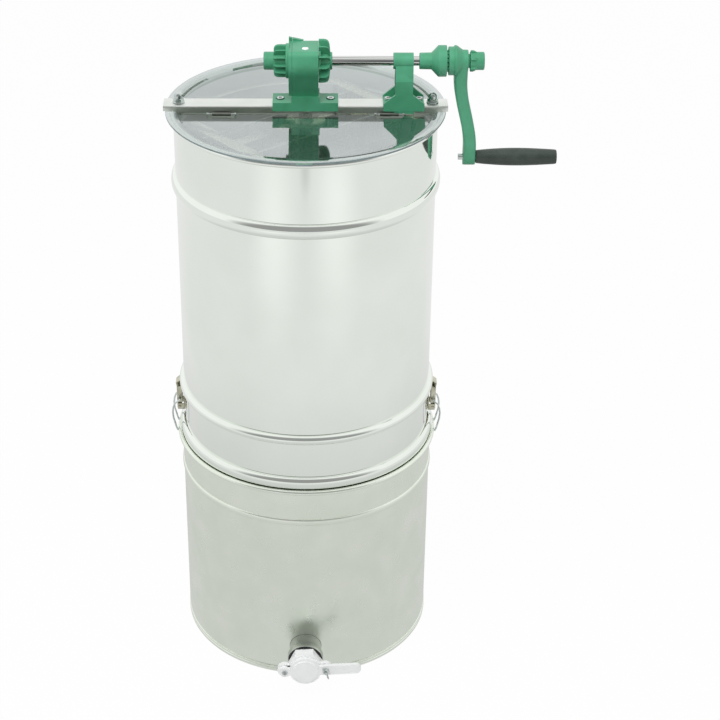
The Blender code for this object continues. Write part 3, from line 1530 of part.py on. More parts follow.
def make_latch(side, name):
    wall = drum_radius + gap
    web = wall + latch_sheet
    ear = wall + latch_base_depth
    half = latch_base_half_width
    channel = [
        (side * wall, -half), (side * ear, -half), (side * ear, -half + latch_sheet),
        (side * web, -half + latch_sheet), (side * web, half - latch_sheet),
        (side * ear, half - latch_sheet), (side * ear, half), (side * wall, half),
    ]
    base = plate(name + "_latch_base", [channel], latch_top - latch_bottom, "nickel")
    base.location = (0, 0, (latch_top + latch_bottom) / 2)
    trim = sorted((side * web, side * (ear + overrun)))
    cut(base, box("ear_trim", (trim[0], -half - overrun, latch_ear_top),
                  (trim[1], half + overrun, latch_top + overrun)))
    pivot_x = side * (drum_radius + latch_pivot_standoff)
    pin_half = half + latch_sheet / 2
    rod(name + "_latch_pin", latch_pin_radius, (pivot_x, -pin_half, latch_pivot_height),
        (pivot_x, pin_half, latch_pivot_height), "nickel", sides=bolt_steps)
    hole = rod("latch_pin_hole", latch_pin_radius + gap, (pivot_x, -half - overrun, latch_pivot_height),
               (pivot_x, half + overrun, latch_pivot_height), sides=bolt_steps)
    cut(base, hole)

    near = drum_radius + latch_lever_start
    far = drum_radius + latch_lever_end
    inner = far - latch_sheet
    half = latch_lever_half_width
    channel = [
        (side * far, -half), (side * far, half), (side * near, half),
        (side * near, half - latch_sheet), (side * inner, half - latch_sheet),
        (side * inner, -half + latch_sheet), (side * near, -half + latch_sheet), (side * near, -half),
    ]
    foot = latch_pivot_height - latch_lever_foot
    lever = plate(name + "_latch_lever", [channel], latch_top - foot, "nickel")
    lever.data.transform(Matrix.Translation((-pivot_x, 0, (latch_top + foot) / 2 - latch_pivot_height)))
    lever.location = (pivot_x, 0, latch_pivot_height)
    skin = far - latch_sheet / 2
    tab_points = [
        (side * (skin - latch_sheet / 2), latch_top - latch_sheet),
        (side * (skin + latch_sheet / 3), latch_top - latch_sheet),
        (side * (skin + latch_tab_bulge), latch_top + latch_tab_length / 2),
        (side * (skin - latch_tab_return), latch_top + latch_tab_length),
        (side * (skin - latch_tab_return), latch_top + latch_tab_length - latch_sheet),
        (side * (skin + latch_tab_bulge - latch_sheet), latch_top + latch_tab_length / 2),
    ]
    tab = front_plate("latch_tab", tab_points, -latch_tab_half_width, latch_tab_half_width)
    join(lever, tab)
    bail_x = pivot_x - side * bail_pivot_inset
    bail_height = latch_pivot_height + bail_pivot_rise
    cut(lever, hole)
    cut(lever, rod("bail_hole", bail_wire + gap, (bail_x, -half - overrun, bail_height),
                   (bail_x, half + overrun, bail_height), sides=bolt_steps))

    rim_outer = tank_radius - sheet + 2 * tank_roll
    hook_x = rim_outer + bail_wire + bail_hook_clearance
    hook_height = tank_height - 2 * tank_roll - bail_wire - bail_hook_clearance
    drop = bail_height - hook_height
    bulge = drum_radius + bail_bulge
    # shares of the way down, and of the way from the hook out to the bulge
    arm_shares = ((0.12, 0.30), (0.25, 0.80), (0.40, 1.0), (0.58, 0.85), (0.75, 0.45), (0.90, 0.05))
    arm = [(bail_x, bail_height)]
    arm += [(side * (hook_x + (bulge - hook_x) * out), bail_height - drop * down)
            for down, out in arm_shares]
    arm += [(side * (hook_x - bail_wire), hook_height + bail_wire),
            (side * (rim_outer - tank_roll), hook_height)]
    inside = half - latch_sheet
    points = [(bail_x, -inside, bail_height)]
    points += [(x, -bail_half_width, z) for x, z in arm]
    points += [(x, bail_half_width, z) for x, z in reversed(arm)]
    points += [(bail_x, inside, bail_height)]
    bail = wire(name + "_latch_bail", points, bail_wire, "zinc")
    bail.data.transform(Matrix.Translation((-bail_x, 0, -bail_height)))
    bail.location = (bail_x, 0, bail_height)


def weld_pieces():
    # Booleans leave a few doubled vertices
    for item in extractor.objects:
        if any(change.type == "BOOLEAN" for change in item.modifiers):
            weld = item.modifiers.new("Weld", "WELD")
            weld.merge_threshold = weld_distance


clear_scene()
extractor = new_collection("honey_extractor")
tools = new_collection("cutters")
gate_axis = bpy.data.objects.new("gate_axis", None)
extractor.objects.link(gate_axis)
gate_axis.location = (0, 0, gate_height)
gate_axis.rotation_euler = (quarter_turn, -gate_tilt, 0)
cage_axis = bpy.data.objects.new("cage_axis", None)
extractor.objects.link(cage_axis)
cage_axis.rotation_euler = (0, 0, cage_angle)

make_tank()
make_gate()
make_drum()
make_bar()
for side_of_bar, side_name in ((-1, "left"), (1, "right")):
    make_bar_fixings(side_of_bar, side_name)
    make_hinge_strap(side_of_bar * notch_offset, side_name + "_hinge_strap")
    make_latch(side_of_bar, side_name)
make_lid(-1, "lid_front")
make_lid(1, "lid_rear")
make_gearbox()
make_drive()
make_support()
make_cage()
weld_pieces()
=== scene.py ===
import json
import math

import bmesh
import bpy
from mathutils import Matrix, Vector

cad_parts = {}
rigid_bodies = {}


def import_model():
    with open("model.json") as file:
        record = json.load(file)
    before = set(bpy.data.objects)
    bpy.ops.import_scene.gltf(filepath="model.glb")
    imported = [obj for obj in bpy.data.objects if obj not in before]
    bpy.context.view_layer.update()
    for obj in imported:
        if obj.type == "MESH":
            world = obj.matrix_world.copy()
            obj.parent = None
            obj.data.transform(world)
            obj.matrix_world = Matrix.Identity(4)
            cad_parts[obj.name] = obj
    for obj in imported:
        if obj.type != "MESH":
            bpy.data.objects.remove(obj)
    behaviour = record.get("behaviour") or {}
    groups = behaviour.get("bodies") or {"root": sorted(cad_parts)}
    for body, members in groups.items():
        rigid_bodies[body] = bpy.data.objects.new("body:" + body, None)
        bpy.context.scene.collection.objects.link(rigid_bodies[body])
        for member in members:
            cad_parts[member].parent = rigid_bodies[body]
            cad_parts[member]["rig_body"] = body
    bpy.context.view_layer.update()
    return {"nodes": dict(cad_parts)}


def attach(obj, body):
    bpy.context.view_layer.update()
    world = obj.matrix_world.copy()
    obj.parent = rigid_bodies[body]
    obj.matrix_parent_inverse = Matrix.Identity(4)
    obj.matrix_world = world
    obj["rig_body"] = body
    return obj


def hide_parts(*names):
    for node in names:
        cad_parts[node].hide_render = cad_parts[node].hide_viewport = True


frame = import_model()
print("frame loaded with", len(frame["nodes"]), "nodes")

fullTurn = 2 * math.pi
halfTurn = math.pi
quarterTurn = math.pi / 2
metresPerMm = 0.001
weldMm = 0.001
overrun = 3        # mm that a cutter passes the face it cuts
gap = 0.3          # mm of air between seated pieces
looseMm = 0.005    # corners of a CAD node nearer than this become one
flatDegrees = 0.5  # and faces that turn by less become one
holeSteps = 24     # sides of a bored hole


# Materials

def toLinear(hexColour):
    # the sRGB curve: straight up to its knee, a power above it
    knee, slope, offset, power = 0.04045, 12.92, 0.055, 2.4
    channels = [int(hexColour[place:place + 2], 16) / 255 for place in (0, 2, 4)]
    return (*[c / slope if c <= knee else ((c + offset) / (1 + offset)) ** power for c in channels], 1)


def addNode(tree, kind, links=None, values=None, **settings):
    node = tree.nodes.new(kind)
    for name, value in settings.items():
        setattr(node, name, value)
    for socket, value in (values or {}).items():
        node.inputs[socket].default_value = value
    for socket, sources in (links or {}).items():
        for source in sources if isinstance(sources, list) else [sources]:
            tree.links.new(source, node.inputs[socket])
    return node


def startMaterial(name, colour, roughness, sockets):
    material = bpy.data.materials.new(name)
    material.use_nodes = True
    tree = material.node_tree
    shader = tree.nodes["Principled BSDF"]
    shader.inputs["Base Color"].default_value = toLinear(colour)
    shader.inputs["Roughness"].default_value = roughness
    for socket, value in sockets.items():
        shader.inputs[socket].default_value = value
    return material, tree, shader, addNode(tree, "ShaderNodeTexCoord").outputs["Object"]


noiseLow, noiseHigh = 0.3, 0.7      # nearly all of the noise lies between these


def mottle(tree, place, spotMm, low, high, stretch=(1, 1, 1), detail=3):
    # soft spots of about that size, between two values; a stretch below 1 draws them out
    drawn = addNode(tree, "ShaderNodeMapping", {"Vector": place}, {"Scale": stretch})
    noise = addNode(tree, "ShaderNodeTexNoise", {"Vector": drawn.outputs["Vector"]},
                    {"Scale": 1 / (spotMm * metresPerMm), "Detail": detail})
    spread = addNode(tree, "ShaderNodeMapRange", {"Value": noise.outputs["Fac"]},
                     {"From Min": noiseLow, "From Max": noiseHigh, "To Min": low, "To Max": high})
    return spread.outputs["Result"]


def tint(tree, shader, amount, dark, light):
    blend = addNode(tree, "ShaderNodeMix", {0: amount}, {6: toLinear(dark), 7: toLinear(light)},
                    data_type="RGBA")
    tree.links.new(blend.outputs[2], shader.inputs["Base Color"])


def relief(tree, shader, layers):
    # layers are (value, depth in mm); each one is laid on the one before
    below = None
    for value, depthMm in layers:
        links = {"Height": value}
        if below:
            links["Normal"] = below
        bump = addNode(tree, "ShaderNodeBump", links,
                       {"Strength": 1, "Distance": depthMm * metresPerMm})
        below = bump.outputs["Normal"]
    tree.links.new(below, shader.inputs["Normal"])


steel = {"Metallic": 1}
surfaces = {
    # bright annealed stainless sheet, buffed: a clear mirror with long shallow waves
    "buffedStainless": ("edf0ea", 0.06, steel),
    # the drum's inside, left as rolled
    "dullStainless": ("e4e8e2", 0.50, {"Metallic": 0.4}),
    # cold rolled 2B stainless: a soft mirror with rolling clouds
    "rolledStainless": ("ecefe6", 0.30, steel),
    # folded stainless strip with a fine grain along it
    "grainedStainless": ("e8ebe7", 0.38, steel),
    # bright drawn stainless wire and bar
    "drawnStainless": ("c4c8c2", 0.22, steel),
    # turned and polished round bar
    "groundStainless": ("d8dad4", 0.10, steel),
    # bright zinc plating on steel fasteners
    "zincPlate": ("cfd6d4", 0.20, steel),
    # spring strip, left dark from hardening
    "springSteel": ("80857e", 0.38, steel),
    # nickel plated spring steel, a little yellow
    "nickelPlate": ("c6c5b2", 0.24, steel),
    # glass filled nylon, injection moulded, satin
    "greenNylon": ("4a9d77", 0.42, {"IOR": 1.53}),
    # natural acetal, machined
    "naturalAcetal": ("eceae1", 0.38, {"IOR": 1.48}),
    # white nylon, injection moulded
    "whiteNylon": ("fbfcfc", 0.36, {"IOR": 1.53}),
    # hard polypropylene, moulded with a fine leathery grain
    "grainedPolypropylene": ("3a443e", 0.44, {"IOR": 1.49}),
    # clear PETG sheet, vacuum formed, faintly smoky; its tint also darkens the view through it, a painted
    # shade
    "clearPetg": ("d7dedb", 0.02, {"IOR": 1.57, "Transmission Weight": 1}),
    # the same sheet's edge, sawn
    "sawnPetg": ("7d8c8e", 0.35, {"IOR": 1.57}),
    # oil filled sintered bronze
    "sinteredBronze": ("b58a52", 0.42, steel),
    # black nitrile rubber
    "nitrileRubber": ("1d1f1f", 0.62, {"IOR": 1.52}),
}
finish = {}
cloudShare = 1.7     # the size of a steel's clouds against its rough spots
# painted reflection streaks for the ground bar, light and dark bands along X
barReflectionStreaks = {"width": 2.2, "stretch": (0.01, 1, 1), "dark": "85878a", "light": "eceeea"}


def makeSteels():
    # (spots mm, roughness from, to, dark, light, wave mm, wave depth, grain mm, grain depth, stretch)
    steels = {
        "buffedStainless": (70, 0.04, 0.07, "e9eee7", "f0f4ee", 140, 0.05, 0.9, 0.0006, (1, 1, 0.02)),
        "dullStainless": (30, 0.44, 0.56, "e0e5de", "e9ede7", 90, 0.06, 1.0, 0.0040, (1, 1, 0.04)),
        "rolledStainless": (24, 0.26, 0.34, "eaf1e4", "f1f6ec", 90, 0.05, 1.0, 0.0012, (1, 1, 0.04)),
        "grainedStainless": (30, 0.34, 0.44, "e0e4de", "eef1ed", 80, 0.02, 0.8, 0.0010, (0.02, 1, 1)),
        "drawnStainless": (12, 0.16, 0.30, "b7bcb5", "cfd3cc", 30, 0.02, 0.8, 0.0010, (1, 1, 0.05)),
        "groundStainless": (20, 0.07, 0.14, "cfd2cb", "e0e2dd", 60, 0.01, 0.8, 0.0006, (1, 0.05, 0.05)),
        "zincPlate": (5, 0.14, 0.28, "c0c9c8", "dbe1df", 8, 0.02, 0.7, 0.0010, (1, 1, 1)),
        "springSteel": (7, 0.32, 0.46, "767b74", "8b9089", 12, 0.02, 0.8, 0.0020, (1, 1, 1)),
        "nickelPlate": (9, 0.18, 0.34, "b9b8a2", "d2d1bf", 14, 0.03, 0.8, 0.0015, (1, 1, 0.1)),
        "sinteredBronze": (3, 0.34, 0.50, "9c7442", "c59a60", 6, 0.01, 0.8, 0.0100, (1, 1, 1)),
    }
    for name, (spots, smooth, rough, dark, light, wave, waveDepth, grain, grainDepth, stretch) \
            in steels.items():
        material, tree, shader, place = startMaterial(name, *surfaces[name])
        tint(tree, shader, mottle(tree, place, spots * cloudShare, 0, 1), dark, light)
        tree.links.new(mottle(tree, place, spots, smooth, rough), shader.inputs["Roughness"])
        relief(tree, shader, [
            (mottle(tree, place, wave, 0, 1, detail=1), waveDepth),
            (mottle(tree, place, grain, 0, 1, stretch, detail=2), grainDepth),
        ])
        finish[name] = material

    # painted reflections: the ground bar gets long streaks of light and dark along it, like the bands a
    # polished bar mirrors
    tree = finish["groundStainless"].node_tree
    place = addNode(tree, "ShaderNodeTexCoord").outputs["Object"]
    streaks = mottle(tree, place, barReflectionStreaks["width"], 0, 1, barReflectionStreaks["stretch"], detail=1)
    tint(tree, tree.nodes["Principled BSDF"], streaks, barReflectionStreaks["dark"], barReflectionStreaks["light"])


roughShare = 0.5     # the size of a plastic's rough spots against its flow marks
swellShare = 4       # the depth of its flow marks against its texture


def makePlastics():
    # (flow marks mm, dark, light, roughness from, to, texture mm, texture depth)
    plastics = {
        "greenNylon": (24, "479a73", "53a882", 0.34, 0.46, 1.1, 0.010),
        "naturalAcetal": (14, "e4e2d8", "f1efe7", 0.32, 0.44, 0.9, 0.005),
        "whiteNylon": (18, "f8fafa", "fdfefe", 0.30, 0.42, 1.1, 0.006),
        "grainedPolypropylene": (16, "333d37", "404a44", 0.38, 0.52, 1.4, 0.030),
        "nitrileRubber": (6, "181a1a", "262929", 0.55, 0.70, 0.9, 0.012),
    }
    for name, (flow, dark, light, smooth, rough, texture, depth) in plastics.items():
        material, tree, shader, place = startMaterial(name, *surfaces[name])
        tint(tree, shader, mottle(tree, place, flow, 0, 1), dark, light)
        tree.links.new(mottle(tree, place, flow * roughShare, smooth, rough), shader.inputs["Roughness"])
        relief(tree, shader, [
            (mottle(tree, place, flow, 0, 1, detail=1), depth * swellShare),
            (mottle(tree, place, texture, 0, 1), depth),
        ])
        finish[name] = material


# spots and waves in mm, each with what it runs between
clearSheet = {
    # the tint of the view through the sheet is partly its smoky colour and partly painted shade over the
    # drum's inside, which lamps light through a near clear sheet
    "rough": (45, 0.01, 0.05), "tintSpots": 90, "dark": "a3aeaa", "light": "b4bdb9",
    "wave": 60, "waveDepth": 0.12, "through": "eef1ef",
    "haze": (70, 0.01, 0.05), "hazeColour": "dfe7e6",
    "sheen": (110, 0.40, 0.50), "sheenColour": "e9f1f2", "sheenRoughness": 0.03,
}
sawnEdge = {
    "rough": (3, 0.25, 0.45), "tintSpots": 20, "dark": "6f7f82", "light": "8a9899",
    "tooth": 1.2, "toothStretch": (1, 1, 4), "toothDepth": 0.02,
}


def makeClearSheet():
    # vacuum forming leaves the sheet a little wavy, and wiping leaves haze
    v = clearSheet
    material, tree, shader, place = startMaterial("clearPetg", *surfaces["clearPetg"])
    tree.links.new(mottle(tree, place, *v["rough"]), shader.inputs["Roughness"])
    # painted shade: what is seen through the sheet is tinted darker than the light that passes it
    tint(tree, shader, mottle(tree, place, v["tintSpots"], 0, 1), v["dark"], v["light"])
    relief(tree, shader, [(mottle(tree, place, v["wave"], 0, 1, detail=1), v["waveDepth"])])
    # shadow, diffuse and glossy rays go straight through it, so what lies below is lit
    path = addNode(tree, "ShaderNodeLightPath")
    straight = addNode(tree, "ShaderNodeMath", {0: path.outputs["Is Shadow Ray"],
                                                1: path.outputs["Is Diffuse Ray"]}, operation="MAXIMUM")
    straight = addNode(tree, "ShaderNodeMath", {0: straight.outputs[0],
                                                1: path.outputs["Is Glossy Ray"]}, operation="MAXIMUM")
    through = addNode(tree, "ShaderNodeBsdfTransparent", values={"Color": toLinear(v["through"])})
    haze = addNode(tree, "ShaderNodeBsdfDiffuse", values={"Color": toLinear(v["hazeColour"])})
    sheen = addNode(tree, "ShaderNodeBsdfGlossy",
                    values={"Color": toLinear(v["sheenColour"]), "Roughness": v["sheenRoughness"]})
    worn = addNode(tree, "ShaderNodeMixShader", {0: mottle(tree, place, *v["haze"], detail=4),
                                                 1: shader.outputs[0], 2: haze.outputs[0]})
    worn = addNode(tree, "ShaderNodeMixShader", {0: mottle(tree, place, *v["sheen"], detail=2),
                                                 1: worn.outputs[0], 2: sheen.outputs[0]})
    mixed = addNode(tree, "ShaderNodeMixShader", {0: straight.outputs[0], 1: worn.outputs[0],
                                                  2: through.outputs[0]})
    tree.links.new(mixed.outputs[0], tree.nodes["Material Output"].inputs["Surface"])
    finish["clearPetg"] = material

    # the sawn edge gathers the sheet's own tint and looks dark
    v = sawnEdge
    material, tree, shader, place = startMaterial("sawnPetg", *surfaces["sawnPetg"])
    tree.links.new(mottle(tree, place, *v["rough"]), shader.inputs["Roughness"])
    tint(tree, shader, mottle(tree, place, v["tintSpots"], 0, 1), v["dark"], v["light"])
    relief(tree, shader, [(mottle(tree, place, v["tooth"], 0, 1, v["toothStretch"]), v["toothDepth"])])
    finish["sawnPetg"] = material


makeSteels()
makePlastics()
makeClearSheet()
print("materials:", len(finish))


# Shapes, drawn in millimetres

def arc(centre, radius, start, stop, steps=12):
    points = []
    for step in range(steps + 1):
        turn = start + (stop - start) * step / steps
        points.append((centre[0] + radius * math.cos(turn), centre[1] + radius * math.sin(turn)))
    return points


def softened(outline, steps=4):
    # rounds each corner that has a third value, its reach along both sides
    points = []
    for place, corner in enumerate(outline):
        here = Vector(corner[:2])
        if len(corner) < 3 or not corner[2]:
            points.append(tuple(here))
            continue
        ways = [Vector(outline[place - 1][:2]) - here,
                Vector(outline[(place + 1) % len(outline)][:2]) - here]
        first, last = [here + way.normalized() * min(corner[2], way.length / 2) for way in ways]
        for step in range(steps + 1):
            share = step / steps
            bend = first * (1 - share) ** 2 + here * 2 * share * (1 - share) + last * share ** 2
            points.append(tuple(bend))
    return points


def loftShape(rings, closed=False):
    shape = bmesh.new()
    rows = [[shape.verts.new(point) for point in ring] for ring in rings]
    pairs = list(zip(rows, rows[1:]))
    if closed:
        pairs.append((rows[-1], rows[0]))
    for first, second in pairs:
        for place, corner in enumerate(first):
            after = (place + 1) % len(first)
            shape.faces.new((corner, first[after], second[after], second[place]))
    if not closed:
        shape.faces.new(rows[0])
        shape.faces.new(rows[-1])
    bmesh.ops.recalc_face_normals(shape, faces=shape.faces)
    return shape


def slabShape(outline, low, high):
    return loftShape([[(x, y, height) for x, y in outline] for height in (low, high)])


def boxShape(low, high):
    outline = [(low[0], low[1]), (high[0], low[1]), (high[0], high[1]), (low[0], high[1])]
    return slabShape(outline, low[2], high[2])


def turnShape(outline, steps=96, closed=False):
    # an outline of (radius, height), turned about Z; it closes on itself or ends on the axis
    shape = bmesh.new()
    rows = [[] for step in range(steps)]
    for radius, height in outline:
        pole = shape.verts.new((0, 0, height)) if radius < weldMm else None
        for step, row in enumerate(rows):
            turn = fullTurn * step / steps
            row.append(pole or shape.verts.new((radius * math.cos(turn), radius * math.sin(turn), height)))
    pairs = [(place, place + 1) for place in range(len(outline) - 1)]
    if closed:
        pairs.append((len(outline) - 1, 0))
    for step, row in enumerate(rows):
        after = rows[(step + 1) % steps]
        for first, second in pairs:
            corners = list(dict.fromkeys([row[first], after[first], after[second], row[second]]))
            if len(corners) > 2:
                shape.faces.new(corners)
    bmesh.ops.recalc_face_normals(shape, faces=shape.faces)
    return shape


def rodShape(radius, low, high, steps=48):
    return turnShape([(0, low), (radius, low), (radius, high), (0, high)], steps)


def moved(shape, *matrices):
    for matrix in matrices:
        bmesh.ops.transform(shape, matrix=matrix, verts=shape.verts)
    return shape


def rodAt(x, radius, low, high, steps=holeSteps):
    return moved(rodShape(radius, low, high, steps), Matrix.Translation((x, 0, 0)))


def copyNode(name):
    # the CAD node's own shape with its loose triangles merged and its flat faces whole
    shape = bmesh.new()
    shape.from_mesh(frame["nodes"][name].data)
    moved(shape, Matrix.Scale(1 / metresPerMm, 4))
    bmesh.ops.remove_doubles(shape, verts=shape.verts, dist=looseMm)
    bmesh.ops.dissolve_limit(shape, angle_limit=math.radians(flatDegrees),
                                verts=shape.verts, edges=shape.edges)
    return shape


def newPiece(name, shape, material=None):
    mesh = bpy.data.meshes.new(name)
    shape.to_mesh(mesh)
    mesh.transform(Matrix.Scale(metresPerMm, 4))
    piece = bpy.data.objects.new(name, mesh)
    bpy.context.scene.collection.objects.link(piece)
    if material:
        mesh.materials.append(finish[material])
    return piece


def takeShape(piece):
    # a piece's mesh as a shape in millimetres again; the piece itself goes
    shape = bmesh.new()
    shape.from_mesh(piece.data)
    bpy.data.objects.remove(piece, do_unlink=True)
    return moved(shape, Matrix.Scale(1 / metresPerMm, 4))


def settle(piece):
    # what the modifiers make becomes the plain mesh
    graph = bpy.context.evaluated_depsgraph_get()
    mesh = bpy.data.meshes.new_from_object(piece.evaluated_get(graph))
    piece.modifiers.clear()
    piece.data = mesh
    return piece


def carve(piece, *cutters, operation="DIFFERENCE"):
    helpers = []
    for shape in cutters:
        helper = newPiece("cutter", shape)
        change = piece.modifiers.new("Carve", "BOOLEAN")
        change.operation = operation
        change.solver = "EXACT"
        change.object = helper
        helpers.append(helper)
    settle(piece)
    for helper in helpers:
        bpy.data.objects.remove(helper, do_unlink=True)
    return piece


def fuse(piece, *shapes):
    return carve(piece, *shapes, operation="UNION")


def shade(piece, sharpDegrees=32):
    # smooth faces, with the edges kept sharp where the surface turns by more than that
    shape = bmesh.new()
    shape.from_mesh(piece.data)
    for face in shape.faces:
        face.smooth = True
    for edge in shape.edges:
        edge.smooth = len(edge.link_faces) == 2 and \
            math.degrees(edge.calc_face_angle(0)) < sharpDegrees
    shape.to_mesh(piece.data)
    shape.free()
    return piece


def roundEdges(piece, widthMm, segments=3, fromDegrees=30):
    for face in piece.data.polygons:
        face.use_smooth = True
    bevel = piece.modifiers.new("Round", "BEVEL")
    bevel.width = widthMm * metresPerMm
    bevel.segments = segments
    bevel.limit_method = "ANGLE"
    bevel.angle_limit = math.radians(fromDegrees)
    bevel.harden_normals = True
    return settle(piece)


def fit(piece, body, slot, *nodes):
    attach(piece, body)
    if nodes:
        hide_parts(*nodes)
    return piece


def dress(node, name, material, slot, edgeMm):
    # a piece with the CAD node's shape and softened edges
    piece = roundEdges(newPiece(name, copyNode(node), material), edgeMm, 2)
    return fit(piece, frame["nodes"][node]["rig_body"], slot, node)


# Geometry Nodes for what repeats

def startTree(name, inputs):
    # inputs are name: (kind of socket, default)
    tree = bpy.data.node_groups.new(name, "GeometryNodeTree")
    tree.interface.new_socket("Geometry", in_out="OUTPUT", socket_type="NodeSocketGeometry")
    tree.interface.new_socket("Geometry", in_out="INPUT", socket_type="NodeSocketGeometry")
    for title, (kind, value) in inputs.items():
        socket = tree.interface.new_socket(title, in_out="INPUT", socket_type="NodeSocket" + kind)
        if value is not None:
            socket.default_value = value
    return tree, addNode(tree, "NodeGroupInput").outputs


def endTree(tree, geometry, material):
    whole = addNode(tree, "GeometryNodeRealizeInstances", {"Geometry": geometry})
    shown = addNode(tree, "GeometryNodeSetMaterial",
                    {"Geometry": whole.outputs[0], "Material": material})
    addNode(tree, "NodeGroupOutput", {"Geometry": shown.outputs[0]})
    return tree


def grow(name, tree, shape, material, settings):
    piece = newPiece(name, shape)
    change = piece.modifiers.new("Grow", "NODES")
    change.node_group = tree
    values = {**settings, "Material": finish[material]}
    for item in tree.interface.items_tree:
        if item.in_out == "INPUT" and item.name in values:
            change[item.identifier] = values[item.name]
    return settle(piece)


def makeAroundTree():
    # copies of the base mesh, evenly turned about Z
    tree, source = startTree("copiesAround", {"Count": ("Int", 12), "Material": ("Material", None)})
    points = addNode(tree, "GeometryNodePoints", {"Count": source["Count"]})
    number = addNode(tree, "GeometryNodeInputIndex")
    pitch = addNode(tree, "ShaderNodeMath", {1: source["Count"]}, {0: fullTurn}, operation="DIVIDE")
    turn = addNode(tree, "ShaderNodeMath", {0: number.outputs[0], 1: pitch.outputs[0]},
                   operation="MULTIPLY")
    angles = addNode(tree, "ShaderNodeCombineXYZ", {"Z": turn.outputs[0]})
    copies = addNode(tree, "GeometryNodeInstanceOnPoints",
                     {"Points": points.outputs[0], "Instance": source["Geometry"],
                      "Rotation": angles.outputs[0]})
    return endTree(tree, copies.outputs[0], source["Material"])


def makePlacesTree():
    # one copy of another object at each point of the base mesh
    tree, source = startTree("copiesAtPlaces", {"Fastener": ("Object", None),
                                                "Material": ("Material", None)})
    fastener = addNode(tree, "GeometryNodeObjectInfo", {"Object": source["Fastener"]})
    copies = addNode(tree, "GeometryNodeInstanceOnPoints",
                     {"Points": source["Geometry"], "Instance": fastener.outputs["Geometry"]})
    return endTree(tree, copies.outputs[0], source["Material"])


def makeMeshTree():
    # woven wire in the plane of X and Z, with its corner at the origin
    tree, source = startTree("wovenWire", {
        "Width": ("Float", 0.3), "Height": ("Float", 0.4), "Pitch": ("Float", 0.008),
        "Wire": ("Float", 0.0006), "Weave": ("Float", 0.0006), "Material": ("Material", None)})
    spot = addNode(tree, "ShaderNodeSeparateXYZ",
                   {"Vector": addNode(tree, "GeometryNodeInputPosition").outputs[0]})
    waves = []
    for axis in ("X", "Z"):
        share = addNode(tree, "ShaderNodeMath", {0: spot.outputs[axis], 1: source["Pitch"]},
                        operation="DIVIDE")
        angle = addNode(tree, "ShaderNodeMath", {0: share.outputs[0]}, {1: halfTurn},
                        operation="MULTIPLY")
        waves.append(addNode(tree, "ShaderNodeMath", {0: angle.outputs[0]}, operation="COSINE"))
    crossing = addNode(tree, "ShaderNodeMath", {0: waves[0].outputs[0], 1: waves[1].outputs[0]},
                       operation="MULTIPLY")
    height = addNode(tree, "ShaderNodeMath", {0: crossing.outputs[0], 1: source["Weave"]},
                     operation="MULTIPLY")
    profile = addNode(tree, "GeometryNodeCurvePrimitiveCircle", {"Radius": source["Wire"]},
                      {"Resolution": 5})
    families = []
    for along, across, side in (("Height", "Width", 1), ("Width", "Height", -1)):
        counts = []
        for length in (source[along], source[across]):
            share = addNode(tree, "ShaderNodeMath", {0: length, 1: source["Pitch"]},
                            operation="DIVIDE")
            whole = addNode(tree, "ShaderNodeMath", {0: share.outputs[0]}, operation="ROUND")
            counts.append(addNode(tree, "ShaderNodeMath", {0: whole.outputs[0]}, {1: 1},
                                  operation="ADD").outputs[0])
        upright = side > 0
        end = addNode(tree, "ShaderNodeCombineXYZ", {"Z" if upright else "X": source[along]})
        step = addNode(tree, "ShaderNodeCombineXYZ", {"X" if upright else "Z": source["Pitch"]})
        line = addNode(tree, "GeometryNodeCurvePrimitiveLine", {"End": end.outputs[0]})
        fine = addNode(tree, "GeometryNodeResampleCurve",
                       {"Curve": line.outputs[0], "Count": counts[0]})
        starts = addNode(tree, "GeometryNodeMeshLine", {"Count": counts[1], "Offset": step.outputs[0]})
        wires = addNode(tree, "GeometryNodeInstanceOnPoints",
                        {"Points": starts.outputs[0], "Instance": fine.outputs[0]})
        loose = addNode(tree, "GeometryNodeRealizeInstances", {"Geometry": wires.outputs[0]})
        signed = addNode(tree, "ShaderNodeMath", {0: height.outputs[0]}, {1: side},
                         operation="MULTIPLY")
        lift = addNode(tree, "ShaderNodeCombineXYZ", {"Y": signed.outputs[0]})
        woven = addNode(tree, "GeometryNodeSetPosition",
                        {"Geometry": loose.outputs[0], "Offset": lift.outputs[0]})
        families.append(addNode(tree, "GeometryNodeCurveToMesh",
                                {"Curve": woven.outputs[0], "Profile Curve": profile.outputs[0]},
                                {"Fill Caps": True}).outputs[0])
    both = addNode(tree, "GeometryNodeJoinGeometry", {"Geometry": families})
    return endTree(tree, both.outputs[0], source["Material"])


aroundTree = makeAroundTree()
placesTree = makePlacesTree()
meshTree = makeMeshTree()


def copiesAt(name, fastener, places, material):
    # the fastener is a shape in millimetres, rounded already; places are its origins
    spots = bmesh.new()
    for place in places:
        spots.verts.new(place)
    piece = grow(name, placesTree, spots, material, {"Fastener": fastener})
    bpy.data.objects.remove(fastener, do_unlink=True)
    return piece


# Places of the pieces' own axes

shaftHeight = 927
gateHeight = 52.5
gateTilt = math.radians(4)
cageTurn = math.radians(40)
toShaft = Matrix.Translation((0, 0, shaftHeight)) @ Matrix.Rotation(quarterTurn, 4, "Y")
toShaftLeft = Matrix.Translation((0, 0, shaftHeight)) @ Matrix.Rotation(-quarterTurn, 4, "Y")
toFront = Matrix.Rotation(quarterTurn, 4, "X")
toSide = Matrix.Rotation(quarterTurn, 4, "Z") @ toFront
toGate = Matrix.Translation((0, 0, gateHeight)) @ Matrix.Rotation(-gateTilt, 4, "Y") @ toFront
toCage = Matrix.Rotation(cageTurn, 4, "Z")


# Tank and drum

def rolledRim(radius, sheet, top, roll):
    # from the wall's inside over the top of the rolled edge to the wall's outside
    meeting = math.acos((sheet - roll) / roll)
    return arc((radius - sheet + roll, top - roll), roll, halfTurn, -meeting, 28)


def halfRound(radius, height, width, depth, steps=18):
    points = []
    for step in range(steps + 1):
        turn = halfTurn * step / steps
        points.append((radius + depth * math.sin(turn), height + width / 2 * math.cos(turn)))
    return points


